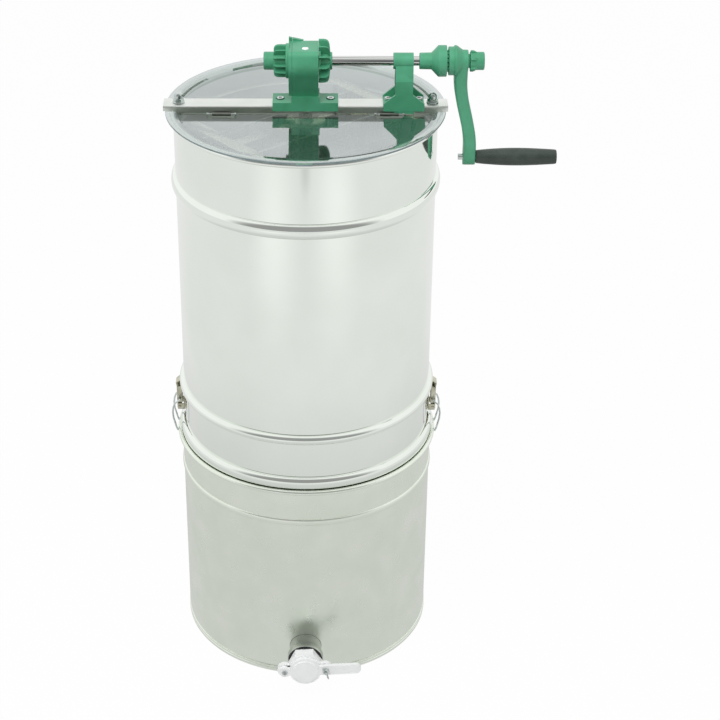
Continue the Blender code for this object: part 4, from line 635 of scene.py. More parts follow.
tank = {
    "radius": 189.5, "height": 342.7, "sheet": 1, "roll": 4, "wallSteps": 192,
    "bead": (284, 10.8, 2),                    # height, width, depth
    "seamTop": 9.4, "seamMiddle": 5.2, "seamDepth": 0.8, "seamGroove": 0.9, "seamStep": 0.4,
    "crease": 0.6, "creaseTop": 2, "creaseFloor": 1,        # above the seam
    "floorFlange": 5.5, "floorInset": 0.3,
}


def makeTank():
    radius, sheet = tank["radius"], tank["sheet"]
    proud = radius + tank["seamDepth"]
    creased = radius - tank["crease"]
    seamTop, middle, groove = tank["seamTop"], tank["seamMiddle"], tank["seamGroove"]
    wall = rolledRim(radius, sheet, tank["height"], tank["roll"])
    wall += halfRound(radius, *tank["bead"])
    wall += softened([
        (radius, seamTop + tank["creaseTop"], 0.3), (creased, seamTop + tank["creaseFloor"], 0.3),
        (creased, seamTop, 0.3), (proud, seamTop - tank["seamStep"], 0.5),
        (proud, middle + groove, 0.4), (creased, middle, 0.3), (proud, middle - groove, 0.4),
        (proud, 0, 0.8), (radius - sheet, 0),
    ])
    shell = newPiece("tankShell", turnShape(wall, tank["wallSteps"], closed=True), "rolledStainless")
    carve(shell, moved(rodShape(gate["neckRadius"] + gap, gate["socketStart"], gate["collarStart"]),
                       toGate))
    fit(shade(shell), "root", "brushed_steel", "tank_shell")

    edge = radius - sheet - tank["floorInset"]
    base = softened([
        (0, sheet), (edge - sheet, sheet, 1), (edge - sheet, tank["floorFlange"]),
        (edge, tank["floorFlange"]), (edge, 0, 1), (0, 0),
    ])
    floor = newPiece("tankFloor", turnShape(base, tank["wallSteps"]), "rolledStainless")
    fit(shade(floor), "root", "brushed_steel", "tank_floor")


drum = {
    "radius": 185, "top": 858, "sheet": 1, "roll": 4, "bottom": 324.2, "wallSteps": 192,
    # beads as height, width, depth
    "beads": ((755.5, 22, 6.2), (425, 15.5, 6.6)), "footBead": (352.2, 18.4, 6.8),
    "footLean": 0.6, "footSoft": 2.5, "sharpDegrees": 40,
}


def makeDrum():
    radius, sheet = drum["radius"], drum["sheet"]
    wall = rolledRim(radius, sheet, drum["top"], drum["roll"])
    for bead in drum["beads"]:
        wall += halfRound(radius, *bead)
    # the foot bead is pressed flat underneath, where it stands on the tank's rim
    height, width, depth = drum["footBead"]
    bulge = halfRound(radius, height, width, depth)
    wall += bulge[:len(bulge) // 2 + 1]
    under = height - width / 2 + gap
    wall += softened([
        (radius + depth, height),
        (radius + depth - drum["footLean"], under, drum["footSoft"]), (radius, under),
    ])[1:]
    wall += [(radius, drum["bottom"]), (radius - sheet, drum["bottom"])]
    for bead in reversed(drum["beads"] + (drum["footBead"],)):
        wall += reversed(halfRound(radius - sheet, *bead))
    shell = newPiece("drumShell", turnShape(wall, drum["wallSteps"], closed=True), "buffedStainless")
    shell.data.materials.append(finish["dullStainless"])
    for face in shell.data.polygons:
        inward = face.normal.x * face.center.x + face.normal.y * face.center.y < 0
        if inward and face.center.length_squared:
            face.material_index = 1
    fit(shade(shell, drum["sharpDegrees"]), "root", "polished_steel", "drum_shell")
    dress("lower_cross_bar", "lowerCrossBar", "dullStainless", "brushed_steel", 0.3)
    dress("lower_bearing", "lowerBearing", "naturalAcetal", "gear_plastic", 0.5)


# Honey gate

gate = {
    "bore": 19.5, "socketStart": 184.5, "neckRadius": 24, "collarStart": 209.7, "collarEnd": 221.5,
    "collarRadius": 26.7, "threadRadius": 22.5, "socketEnd": 235.5,
    "sealStart": 221.8, "sealEnd": 223.8, "sealRadius": 25.5,
    "hexStart": 224.1, "hexRadius": 26.5, "flangeStart": 236.1, "flangeEnd": 242.6,
    "flangeRadius": 25.5, "lugOffset": 31, "pivotLugRadius": 11, "clampLugRadius": 9.5, "lugNeckHalf": 8.5,
    "shutterStart": 242.9, "shutterEnd": 248.4, "shutterRadius": 23.5, "earRadius": 8.5, "earNeckHalf": 6,
    "discRadius": 19, "discRise": 1.2, "handleReach": 84, "handleWidth": 16.3,
    "screwRadius": 2, "slotRadius": 2.6, "headRadius": 4.2, "headHeight": 2.5,
    "clampEnd": 256.9, "nutRadius": 5.2, "nutHeight": 5, "wingSpan": 11, "wingRise": 8.5,
    "wingThickness": 1.6, "wingLean": math.radians(-70), "wingRootShare": 0.6, "wingFootShare": 0.2,
    "wingTopShare": 0.8, "wingHollowShare": 0.62, "wingBellyShares": (0.95, 1.1),
    "crossTurns": (math.radians(20), math.radians(110)), "crossShare": 0.55, "crossHalfWidth": 0.55,
    "crossFloorShare": 0.4,
}


def makeGate():
    g = gate
    socket = newPiece("gateSocket", moved(turnShape(softened([
        (g["bore"], g["socketEnd"]), (g["threadRadius"], g["socketEnd"], 0.8),
        (g["threadRadius"], g["collarEnd"]), (g["collarRadius"], g["collarEnd"], 0.8),
        (g["collarRadius"], g["collarStart"], 0.8), (g["neckRadius"], g["collarStart"], 0.6),
        (g["neckRadius"], g["socketStart"]), (g["bore"], g["socketStart"]),
    ]), closed=True), toGate), "drawnStainless")
    fit(shade(socket), "root", "brushed_steel", "gate_socket")
    seal = newPiece("gateSeal", moved(turnShape(softened([
        (g["threadRadius"] + gap, g["sealEnd"]), (g["sealRadius"], g["sealEnd"], 0.8),
        (g["sealRadius"], g["sealStart"], 0.8), (g["threadRadius"] + gap, g["sealStart"]),
    ]), closed=True), toGate), "nitrileRubber")
    fit(shade(seal), "root", "seal_rubber", "gate_seal")

    hexagon = [(g["hexRadius"] * math.cos(fullTurn * k / 6), g["hexRadius"] * math.sin(fullTurn * k / 6))
               for k in range(6)]
    body = newPiece("gateBody", slabShape(hexagon, g["hexStart"], g["flangeStart"] + gap), "whiteNylon")
    lugs = [rodAt(x, radius, g["flangeStart"], g["flangeEnd"], 2 * holeSteps)
            for x, radius in ((-g["lugOffset"], g["pivotLugRadius"]),
                              (g["lugOffset"], g["clampLugRadius"]))]
    fuse(body, rodShape(g["flangeRadius"], g["flangeStart"], g["flangeEnd"], 96), *lugs,
         boxShape((-g["lugOffset"], -g["lugNeckHalf"], g["flangeStart"]),
                  (g["lugOffset"], g["lugNeckHalf"], g["flangeEnd"])))
    carve(body, rodShape(g["threadRadius"] + gap, g["hexStart"] - overrun, g["socketEnd"] + gap),
          rodShape(g["bore"], g["hexStart"], g["flangeEnd"] + overrun),
          *[rodAt(x, g["screwRadius"] + gap, g["flangeStart"] - overrun, g["flangeEnd"] + overrun)
            for x in (-g["lugOffset"], g["lugOffset"])])
    roundEdges(body, 0.8)
    body.data.transform(millimetres(toGate))
    fit(body, "root", "white_plastic", "gate_body")

    halfHandle = g["handleWidth"] / 2
    side = math.asin(halfHandle / g["shutterRadius"])
    outline = arc((0, 0), g["shutterRadius"], side, fullTurn - side, 72)
    outline += arc((g["handleReach"] - halfHandle, 0), halfHandle, -quarterTurn, quarterTurn, 18)
    shutter = newPiece("gateShutter", slabShape(outline, g["shutterStart"], g["shutterEnd"]),
                       "whiteNylon")
    fuse(shutter, rodShape(g["discRadius"], g["shutterEnd"] - g["discRise"],
                           g["shutterEnd"] + g["discRise"], 72),
         rodAt(-g["lugOffset"], g["earRadius"], g["shutterStart"], g["shutterEnd"], 2 * holeSteps),
         boxShape((-g["lugOffset"], -g["earNeckHalf"], g["shutterStart"]),
                  (0, g["earNeckHalf"], g["shutterEnd"])))
    slot = arc((g["lugOffset"], 0), g["slotRadius"], 0, halfTurn)
    slot += [(g["lugOffset"] - g["slotRadius"], -g["shutterRadius"]),
             (g["lugOffset"] + g["slotRadius"], -g["shutterRadius"])]
    carve(shutter, slabShape(slot, g["shutterStart"] - overrun, g["shutterEnd"] + overrun),
          rodAt(-g["lugOffset"], g["screwRadius"] + gap, g["shutterStart"] - overrun,
                g["shutterEnd"] + overrun))
    roundEdges(shutter, 0.9)
    shutter.data.transform(millimetres(toGate))
    fit(shutter, "gate_shutter", "white_plastic", "gate_shutter")

    headStart = g["shutterEnd"] + gap
    head = g["headRadius"]
    pivot = newPiece("gatePivotScrew", turnShape(softened([
        (0, headStart + g["headHeight"]), (head * 0.6, headStart + g["headHeight"] * 0.92, 1.5),
        (head, headStart + g["headHeight"] / 3, 1), (head, headStart, 0.3),
        (g["screwRadius"], headStart), (g["screwRadius"], g["flangeStart"] + gap),
        (0, g["flangeStart"] + gap),
    ]), 48), "zincPlate")
    reach, half = head * g["crossShare"], g["crossHalfWidth"]
    for turn in g["crossTurns"]:
        carve(pivot, moved(boxShape((-reach, -half, headStart + g["headHeight"] * g["crossFloorShare"]),
                                    (reach, half, headStart + g["headHeight"] + overrun)),
                           Matrix.Rotation(turn, 4, "Z")))
    pivot.data.transform(millimetres(toGate @ Matrix.Translation((-g["lugOffset"], 0, 0))))
    fit(shade(pivot), "root", "zinc", "gate_pivot_screw")
    headEnd = g["flangeStart"] - gap
    clamp = newPiece("gateClampScrew", turnShape(softened([
        (0, g["clampEnd"]), (g["screwRadius"], g["clampEnd"], 0.5), (g["screwRadius"], headEnd),
        (head, headEnd), (head, headEnd - g["headHeight"], 1.2), (0, headEnd - g["headHeight"]),
    ]), 32), "zincPlate")
    clamp.data.transform(millimetres(toGate @ Matrix.Translation((g["lugOffset"], 0, 0))))
    fit(shade(clamp), "root", "zinc", "gate_clamp_screw")

    nutStart, nutHeight = headStart, g["nutHeight"]
    root, foot = g["wingRootShare"] * g["nutRadius"], nutStart + g["wingFootShare"] * nutHeight
    bellyOut, bellyUp = g["wingBellyShares"]
    wing = softened([
        (root, foot), (g["nutRadius"], foot, 0.4),
        (bellyOut * g["wingSpan"], nutStart + bellyUp * nutHeight, 1),
        (g["wingSpan"], nutStart + g["wingRise"], 1.8),
        (g["wingHollowShare"] * g["wingSpan"], nutStart + g["wingRise"], 1.8),
        (root, nutStart + g["wingTopShare"] * nutHeight),
    ])
    wingShape = moved(slabShape(wing, -g["wingThickness"] / 2, g["wingThickness"] / 2), toFront)
    nut = newPiece("gateWingNut", turnShape(softened([
        (g["screwRadius"] + gap, nutStart + g["nutHeight"]),
        (g["nutRadius"] * 0.72, nutStart + g["nutHeight"], 0.8), (g["nutRadius"], nutStart, 0.6),
        (g["screwRadius"] + gap, nutStart)]), 48, closed=True), "zincPlate")
    fuse(nut, wingShape, moved(wingShape.copy(), Matrix.Rotation(halfTurn, 4, "Z")))
    roundEdges(nut, 0.4)
    nut.data.transform(millimetres(toGate @ Matrix.Translation((g["lugOffset"], 0, 0))
                                   @ Matrix.Rotation(g["wingLean"], 4, "Z")))
    fit(nut, "wing_nut", "zinc", "gate_wing_nut")


def millimetres(matrix):
    # the same move for a mesh that is in metres already
    small = matrix.copy()
    small.translation = matrix.translation * metresPerMm
    return small


# Bar and what holds it down

bar = {
    "halfLength": 198, "width": 30, "top": 866, "bottom": 855.6, "sheet": 1.5, "bend": 2.6,
    "reliefStart": 182, "reliefTop": 858.3, "boltOffset": 177, "boltRadius": 4.3, "bushHole": 9.3,
    "nutRadius": 6.2, "nutHeight": 5, "nutPlaces": (-35, 35, 115, 158), "nutHole": 3.3,
}


def makeBar():
    b = bar
    half, inner, soft = b["width"] / 2, b["width"] / 2 - b["sheet"], b["bend"]
    web = b["top"] - b["sheet"]
    channel = softened([
        (-half, b["bottom"]), (-half, b["top"], soft), (half, b["top"], soft), (half, b["bottom"]),
        (inner, b["bottom"]), (inner, web, soft / 2), (-inner, web, soft / 2), (-inner, b["bottom"]),
    ], 6)
    piece = newPiece("topBar", moved(slabShape(channel, -b["halfLength"], b["halfLength"]), toSide),
                     "grainedStainless")
    cutters = [rodShape(b["bushHole"], web - overrun, b["top"] + overrun)]
    for side in (-1, 1):
        near, far = sorted((side * b["reliefStart"], side * (b["halfLength"] + overrun)))
        cutters.append(boxShape((near, -b["width"], b["bottom"] - overrun),
                                (far, b["width"], b["reliefTop"])))
        cutters.append(rodAt(side * b["boltOffset"], b["boltRadius"], web - overrun, b["top"] + overrun))
    for x in b["nutPlaces"]:
        cutters.append(rodAt(x, b["nutHole"], web - overrun, b["top"] + overrun))
    carve(piece, *cutters)
    roundEdges(piece, 0.25, 2, 50)
    fit(piece, "root", "brushed_steel", "top_bar")

    nut = newPiece("weldNut", rodShape(b["nutRadius"], web - b["nutHeight"], web, 6))
    carve(nut, rodShape(b["nutHole"], web - b["nutHeight"] - overrun, web + overrun, 24))
    roundEdges(nut, 0.4)
    nuts = copiesAt("barWeldNuts", nut, [(x, 0, 0) for x in b["nutPlaces"]], "zincPlate")
    fit(nuts, "root", "zinc")
    for side in ("left", "right"):
        dress(side + "_bar_bracket", side + "BarBracket", "grainedStainless", "brushed_steel", 0.3)
        dress(side + "_bar_bolt", side + "BarBolt", "zincPlate", "zinc", 0.4)
        dress(side + "_hinge_strap", side + "HingeStrap", "springSteel", "brushed_steel", 0.15)


capNut = {
    "seat": 866.3, "flangeRadius": 8.5, "flangeHeight": 1.6, "hexRadius": 7.5, "hexHeight": 6.2,
    "domeRadius": 6.2, "height": 15.5, "boreRadius": 4.3, "boreTop": 877.3,
}


def makeCapNuts():
    c = capNut
    domeMiddle = c["height"] - c["domeRadius"]
    dome = [(0, c["height"])] + arc((0, domeMiddle), c["domeRadius"], quarterTurn, 0, 14)[1:]
    nut = newPiece("capNut", turnShape(dome + softened([
        (c["domeRadius"], c["flangeHeight"]), (c["flangeRadius"], c["flangeHeight"], 0.6),
        (c["flangeRadius"], 0, 0.3), (0, 0)]), 64))
    chamfer = turnShape([(0, c["hexHeight"]), (c["hexRadius"] * 0.88, c["hexHeight"]),
                         (c["hexRadius"] * 1.02, c["hexHeight"] - 1), (c["hexRadius"] * 1.02, 0.5),
                         (0, 0.5)], 64)
    hexagon = newPiece("hexagon", rodShape(c["hexRadius"], 0.5, c["hexHeight"], 6))
    carve(hexagon, chamfer, operation="INTERSECT")
    fuse(nut, takeShape(hexagon))
    carve(nut, rodShape(c["boreRadius"], -overrun, c["boreTop"] - c["seat"], 24))
    roundEdges(nut, 0.3, 2, 35)
    nuts = copiesAt("capNuts", nut, [(side * bar["boltOffset"], 0, c["seat"]) for side in (-1, 1)],
                    "zincPlate")
    fit(nuts, "root", "zinc", "left_cap_nut", "right_cap_nut")


# Lids

lid = {
    "sheet": 3, "plateTop": 854.3, "radius": 196, "plateRadius": 178.5, "riserLean": 1.5,
    "rimTop": 861.3, "edge": 16.5, "tabHalfWidth": 11, "tabReach": 200.5, "cornerCut": 22.3,
    "cornerInner": 177.5, "notchOffset": 116.5, "notchHalf": 18.5, "notchDepth": 12,
    "centreHalf": 18, "centreDepth": 13.5, "hingeOffset": 20.8, "hingeHeight": 856.4,
    "pinRadius": 1.4, "earRadius": 2.4, "earWidth": 2.5, "bend": 2.2, "wallSteps": 192,
    "sawnDepth": 0.5, "uprightLimit": 0.5,     # faces that count as the sawn edge
}


def makeLid(side, name, body):
    v = lid
    riser = v["plateRadius"] + v["riserLean"]
    bottom = v["plateTop"] - v["sheet"]
    sheet = turnShape(softened([
        (0, v["plateTop"]), (v["plateRadius"], v["plateTop"], v["bend"]),
        (riser, v["rimTop"], v["bend"]), (v["radius"], v["rimTop"], 0.6),
        (v["radius"], v["rimTop"] - v["sheet"], 0.6),
        (riser + v["sheet"], v["rimTop"] - v["sheet"], v["bend"]),
        (v["plateRadius"] + v["sheet"], bottom, v["bend"]), (0, bottom),
    ]), v["wallSteps"])
    piece = newPiece(name, sheet, "clearPetg")
    low, high, far = bottom - overrun, v["rimTop"] + overrun, v["radius"] + overrun

    def opening(left, right, near, reach):
        depths = sorted((side * near, side * reach))
        return boxShape((left, depths[0], low), (right, depths[1], high))

    near = v["edge"] - overrun
    cutters = [opening(-far, far, -far, v["edge"]),
               opening(-v["centreHalf"], v["centreHalf"], near, v["edge"] + v["centreDepth"])]
    cutters += [opening(x - v["notchHalf"], x + v["notchHalf"], near, v["edge"] + v["notchDepth"])
                for x in (-v["notchOffset"], v["notchOffset"])]
    for end in (-1, 1):
        left, right = sorted((end * v["cornerInner"], end * far))
        cutters.append(opening(left, right, near, v["cornerCut"]))
    carve(piece, *cutters)
    depths = sorted((side * (v["radius"] - v["sheet"]), side * v["tabReach"]))
    added = [boxShape((-v["tabHalfWidth"], depths[0], v["rimTop"] - v["sheet"]),
                      (v["tabHalfWidth"], depths[1], v["rimTop"] - gap))]
    y, z = side * v["hingeOffset"], v["hingeHeight"]
    ear = arc((y, z), v["earRadius"], 0, halfTurn, 10)
    ear += [(y - v["earRadius"], v["plateTop"] - v["sheet"] / 2),
            (y + v["earRadius"], v["plateTop"] - v["sheet"] / 2)]
    for x in (-v["notchOffset"], v["notchOffset"]):
        for end in (-1, 1):
            start = x + end * (v["notchHalf"] - gap)
            near, far = sorted((start, start + end * v["earWidth"]))
            added.append(moved(slabShape(ear, near, far), toSide))
        reach = v["notchHalf"] + v["earWidth"] / 2
        added.append(moved(rodShape(v["pinRadius"], x - reach, x + reach, 16),
                           Matrix.Rotation(quarterTurn, 4, "Y"), Matrix.Translation((0, y, z))))
    fuse(piece, *added)
    roundEdges(piece, 0.35, 2, 55)
    piece.data.materials.append(finish["sawnPetg"])
    for face in piece.data.polygons:
        x, y, z = face.center / metresPerMm
        upright = abs(face.normal.z) < v["uprightLimit"] and z > v["rimTop"] - v["sheet"] - gap
        if upright and math.hypot(x, y) > v["radius"] - v["sawnDepth"]:
            face.material_index = 1
    fit(piece, body, "clear_sheet", body)


# Gearbox

box = {
    "halfLength": 18, "radius": 30.6, "topHeight": 21, "topHalfDepth": 26.7, "topCrease": 7,
    "cavity": 18.6, "neckHalf": 12, "lugHeight": 4.3, "lugDepth": 5, "lugLength": 20.7,
    "saddleHalfLength": 45.5, "saddleHalfDepth": 18, "saddleTop": 872, "saddleBottom": 859.6,
    "blockHalfLength": 19.5, "blockTop": 880, "boltOffset": 35, "boltHole": 3.3,
    "pocketRadius": 6.4, "pocketDepth": 2, "pinionPocket": 9, "pinionFloor": 903.5,
    "bushHole": 9.3, "plugRadius": 4.8, "plugRise": 0.6, "plugDepth": 2, "plugOffset": 9,
    "plateStart": 18.3, "plateEnd": 23, "flangeEnd": 27, "flangeRadius": 24, "bellEnd": 43.5,
    "bellRadius": 22.7, "coreRadius": 13.5, "bossEnd": 57.5, "bossRadius": 12.4,
    "leftCavity": 10.5, "leftCavityEnd": 34, "wall": 3, "shaftHole": 7.1,
    "rightBellEnd": 32.5, "rightBellRadius": 30.2, "rightCoreRadius": 15.5, "rightDiscRadius": 23,
    "rightDiscEnd": 21.3, "collarEnd": 37, "collarRadius": 12, "rightCavity": 11.5,
    "rightCavityEnd": 23.5, "ribs": 12, "ribThickness": 2.1, "ribCorner": 8,
}


def housingOutline(bottom):
    # seen along the shaft: a flat top with rolled creases, round sides and a tapering foot
    v = box
    topReach = math.hypot(v["topHalfDepth"], v["topHeight"])
    topTurn = math.atan2(v["topHeight"], v["topHalfDepth"]) - math.acos(v["radius"] / topReach)
    drop = shaftHeight - v["blockTop"]
    footReach = math.hypot(v["neckHalf"], drop)
    footTurn = math.atan2(drop, v["neckHalf"]) - math.acos(v["radius"] / footReach)
    half = v["neckHalf"] + (bottom - v["blockTop"]) * math.tan(footTurn)
    top = shaftHeight + v["topHeight"]
    outline = [(-half, bottom)]
    outline += arc((0, shaftHeight), v["radius"], halfTurn + footTurn, halfTurn - topTurn, 30)
    outline += [(-v["topHalfDepth"], top, v["topCrease"]), (v["topHalfDepth"], top, v["topCrease"])]
    outline += arc((0, shaftHeight), v["radius"], topTurn, -footTurn, 30)
    return softened(outline + [(half, bottom)], 8)


def lugShape(left, right):
    # a stretch of the wedge along the rear edge of the top, highest at the left
    v = box
    top = shaftHeight + v["topHeight"]
    rear = v["topHalfDepth"] - gap
    rises = [v["lugHeight"] * (1 - (x + v["plateEnd"]) / v["lugLength"]) + gap for x in (left, right)]
    outline = [(left, top - 1), (right, top - 1), (right, top + rises[1]), (left, top + rises[0])]
    return moved(slabShape(outline, -rear, v["lugDepth"] - rear), toFront)


def makeGearbox():
    v = box
    saddle = softened([
        (-v["saddleHalfLength"], v["saddleBottom"]), (v["saddleHalfLength"], v["saddleBottom"]),
        (v["saddleHalfLength"], v["saddleTop"]), (v["blockHalfLength"], v["saddleTop"], 1.5),
        (v["blockHalfLength"], v["blockTop"]), (-v["blockHalfLength"], v["blockTop"]),
        (-v["blockHalfLength"], v["saddleTop"], 1.5), (-v["saddleHalfLength"], v["saddleTop"]),
    ])
    housing = newPiece("gearboxHousing", moved(slabShape(saddle, -v["saddleHalfDepth"],
                                                         v["saddleHalfDepth"]), toFront), "greenNylon")
    fuse(housing, moved(slabShape(housingOutline(v["saddleTop"]), -v["halfLength"], v["halfLength"]),
                        toSide), lugShape(-v["halfLength"], v["lugLength"] - v["plateEnd"] - 0.5))
    half = bar["width"] / 2 + gap
    toPlug = Matrix.Translation((0, -v["plugOffset"], shaftHeight + v["topHeight"]))
    pocketFloor = v["saddleTop"] - v["pocketDepth"]
    cutters = [
        moved(rodShape(v["cavity"], -v["halfLength"] - overrun, v["halfLength"] + overrun, 96), toShaft),
        rodShape(v["pinionPocket"], v["pinionFloor"], shaftHeight),
        boxShape((-v["saddleHalfLength"] - overrun, -half, v["saddleBottom"] - overrun),
                 (v["saddleHalfLength"] + overrun, half, bar["top"] + gap)),
        rodShape(v["bushHole"], bar["top"] - overrun, v["pinionFloor"] + overrun),
        moved(rodShape(v["plugRadius"] + gap, -v["plugDepth"], overrun), toPlug),
    ]
    for x in (-v["boltOffset"], v["boltOffset"]):
        cutters.append(rodAt(x, v["boltHole"], bar["top"] - overrun, v["saddleTop"]))
        cutters.append(rodAt(x, v["pocketRadius"], pocketFloor, v["saddleTop"] + overrun, 2 * holeSteps))
    carve(housing, *cutters)
    roundEdges(housing, 0.9)
    fit(housing, "root", "green_plastic", "gearbox_housing")

    plug = newPiece("fillerPlug", moved(turnShape(softened([
        (0, v["plugRise"]), (v["plugRadius"], v["plugRise"], 0.8),
        (v["plugRadius"], -v["plugDepth"] + gap), (0, -v["plugDepth"] + gap)]), 48), toPlug), "whiteNylon")
    fit(shade(plug), "root", "white_plastic", "filler_plug")


def makeRibs(name, outline, place, node):
    # one rib drawn along the shaft, then copied round it
    thickness = box["ribThickness"] / 2
    rib = newPiece(name, moved(slabShape(softened(outline), -thickness, thickness), toFront))
    roundEdges(rib, 0.7)
    ribs = grow(name, aroundTree, takeShape(rib), "greenNylon", {"Count": box["ribs"]})
    ribs.data.transform(millimetres(place))
    for face in ribs.data.polygons:
        face.use_smooth = True
    fit(ribs, "root", "green_plastic", node)


def makeCovers():
    v = box
    plate = newPiece("leftCoverPlate", moved(slabShape(housingOutline(v["blockTop"] + gap),
                                                       -v["plateEnd"], -v["plateStart"]), toSide),
                     "greenNylon")
    fuse(plate, lugShape(-v["plateEnd"], -v["plateStart"]))
    carve(plate, moved(rodShape(v["leftCavity"], v["plateStart"] - overrun, v["plateEnd"] + overrun),
                       toShaftLeft))
    roundEdges(plate, 0.8)
    fit(plate, "root", "green_plastic", "gearbox_left_cover")
    bell = newPiece("leftCoverBell", moved(turnShape(softened([
        (0, v["bossEnd"]), (v["bossRadius"], v["bossEnd"], 2), (v["bossRadius"], v["bellEnd"], 1),
        (v["coreRadius"], v["bellEnd"] - 2, 1), (v["coreRadius"], v["flangeEnd"], 2),
        (v["flangeRadius"], v["flangeEnd"], 1.2), (v["flangeRadius"], v["plateEnd"] - 1),
        (v["leftCavity"], v["plateEnd"] - 1), (v["leftCavity"], v["leftCavityEnd"]),
        (v["shaftHole"], v["leftCavityEnd"]), (v["shaftHole"], v["bossEnd"] - v["wall"]),
        (0, v["bossEnd"] - v["wall"]),
    ]), 96), toShaftLeft), "greenNylon")
    fit(shade(bell), "root", "green_plastic")
    makeRibs("leftCoverRibs", [
        (v["coreRadius"] - 2, v["flangeEnd"] - 1), (v["bellRadius"], v["flangeEnd"] - 1),
        (v["bellRadius"], v["bellEnd"], v["ribCorner"]), (v["bossRadius"] - 1, v["bellEnd"]),
    ], toShaftLeft, "gearbox_left_cover")

    right = newPiece("rightCoverBell", moved(turnShape(softened([
        (v["collarRadius"], v["collarEnd"], 1), (v["collarRadius"], v["rightBellEnd"], 1),
        (v["rightCoreRadius"], v["rightBellEnd"] - 2, 2), (v["rightCoreRadius"], v["rightDiscEnd"], 2),
        (v["rightDiscRadius"], v["rightDiscEnd"], 0.8), (v["rightDiscRadius"], v["plateStart"]),
        (v["rightCavity"], v["plateStart"]), (v["rightCavity"], v["rightCavityEnd"]),
        (v["shaftHole"], v["rightCavityEnd"]), (v["shaftHole"], v["collarEnd"]),
    ]), 96, closed=True), toShaft), "greenNylon")
    fit(shade(right), "root", "green_plastic", "gearbox_right_cover")
    makeRibs("rightCoverRibs", [
        (v["rightCoreRadius"] - 1, v["plateStart"]), (v["rightBellRadius"], v["plateStart"], 0.6),
        (v["rightBellRadius"], v["rightBellEnd"], v["ribCorner"]),
        (v["collarRadius"] - 1, v["rightBellEnd"] + 2), (v["collarRadius"] - 1, v["rightBellEnd"] - 3),
    ], toShaft, "gearbox_right_cover")


bolts = {
    "seat": 870.3, "headRadius": 5, "headHeight": 3, "shankRadius": 3, "end": 859.5,
    "socketRadius": 2.6, "places": (("left_saddle_bolt", -35), ("right_saddle_bolt", 35),
                                    ("left_bracket_bolt", 115), ("right_bracket_bolt", 158)),
}


def makeBolts():
    v = bolts
    bolt = newPiece("bolt", turnShape(softened([
        (0, v["headHeight"]), (v["headRadius"], v["headHeight"], 0.7), (v["headRadius"], 0, 0.2),
        (v["shankRadius"], 0), (v["shankRadius"], v["end"] - v["seat"], 0.5),
        (0, v["end"] - v["seat"])]), 48))
    carve(bolt, rodShape(v["socketRadius"], v["headHeight"] / 4, v["headHeight"] + overrun, 6))
    shade(bolt)
    whole = copiesAt("saddleBolts", bolt, [(x, 0, v["seat"]) for node, x in v["places"]], "zincPlate")
    fit(whole, "root", "zinc", *[node for node, x in v["places"]])


# Support bracket

support = {
    "x": 136.5, "bossHalf": 13.75, "bossShift": 1.5, "bossRadius": 11.3, "postHalf": 11.7,
    "front": 18, "setBack": 0.5, "topHalfDepth": 9.5,
    "shoulder": 903, "baseHalf": 28.5, "baseTop": 870, "flareTop": 884,
    "wall": 3.5, "lipHalf": 14, "lipBottom": 855.9, "boltOffset": 21.5, "bore": 8.5, "boltHole": 3.3,
}


def makeSupport():
    v = support
    x, top = v["x"], bar["top"]
    wall = [
        (x - v["baseHalf"], box["saddleBottom"]), (x + v["baseHalf"], box["saddleBottom"]),
        (x + v["baseHalf"], v["baseTop"]), (x + v["postHalf"], v["flareTop"]),
        (x + v["postHalf"], v["shoulder"]), (x - v["postHalf"], v["shoulder"]),
        (x - v["postHalf"], v["flareTop"]), (x - v["baseHalf"], v["baseTop"]),
    ]
    bracket = newPiece("supportBracket", moved(slabShape(wall, v["front"] - v["wall"], v["front"]),
                                               toFront), "greenNylon")
    deep = v["front"] - v["setBack"]
    postHalf = v["postHalf"] + v["setBack"]
    post = [(-deep, top), (-deep, v["shoulder"] - gap)]
    post += arc((0, shaftHeight), v["topHalfDepth"], halfTurn, 0, 28)
    post += [(deep, v["shoulder"] - gap), (deep, top)]
    inside, baseHalf = v["front"] - v["wall"] / 2, v["baseHalf"] - v["setBack"]
    bossLeft, bossRight = x - v["bossShift"] - v["bossHalf"], x - v["bossShift"] + v["bossHalf"]
    fuse(bracket,
         moved(slabShape(wall, -v["front"], v["wall"] - v["front"]), toFront),
         boxShape((x - baseHalf, -inside, top), (x + baseHalf, inside, v["baseTop"])),
         moved(slabShape(post, x - postHalf, x + postHalf), toSide),
         moved(rodShape(v["bossRadius"], bossLeft, bossRight, 72), toShaft),
         boxShape((x - v["lipHalf"], gap - v["front"], v["lipBottom"]),
                  (x + v["lipHalf"], v["wall"] - v["front"] - v["setBack"], v["baseTop"])))
    half = bar["width"] / 2 + gap
    carve(bracket,
          boxShape((x - v["baseHalf"] - overrun, -half, v["lipBottom"] - overrun),
                   (x + v["baseHalf"] + overrun, half, top + gap)),
          moved(rodShape(v["bore"], bossLeft - overrun, bossRight + overrun), toShaft),
          *[rodAt(x + side * v["boltOffset"], v["boltHole"], top - overrun, v["baseTop"] + overrun)
            for side in (-1, 1)])
    roundEdges(bracket, 0.8)
    fit(bracket, "root", "green_plastic", "support_bracket")


# Drive: shaft, clutch, crank, knob and grip

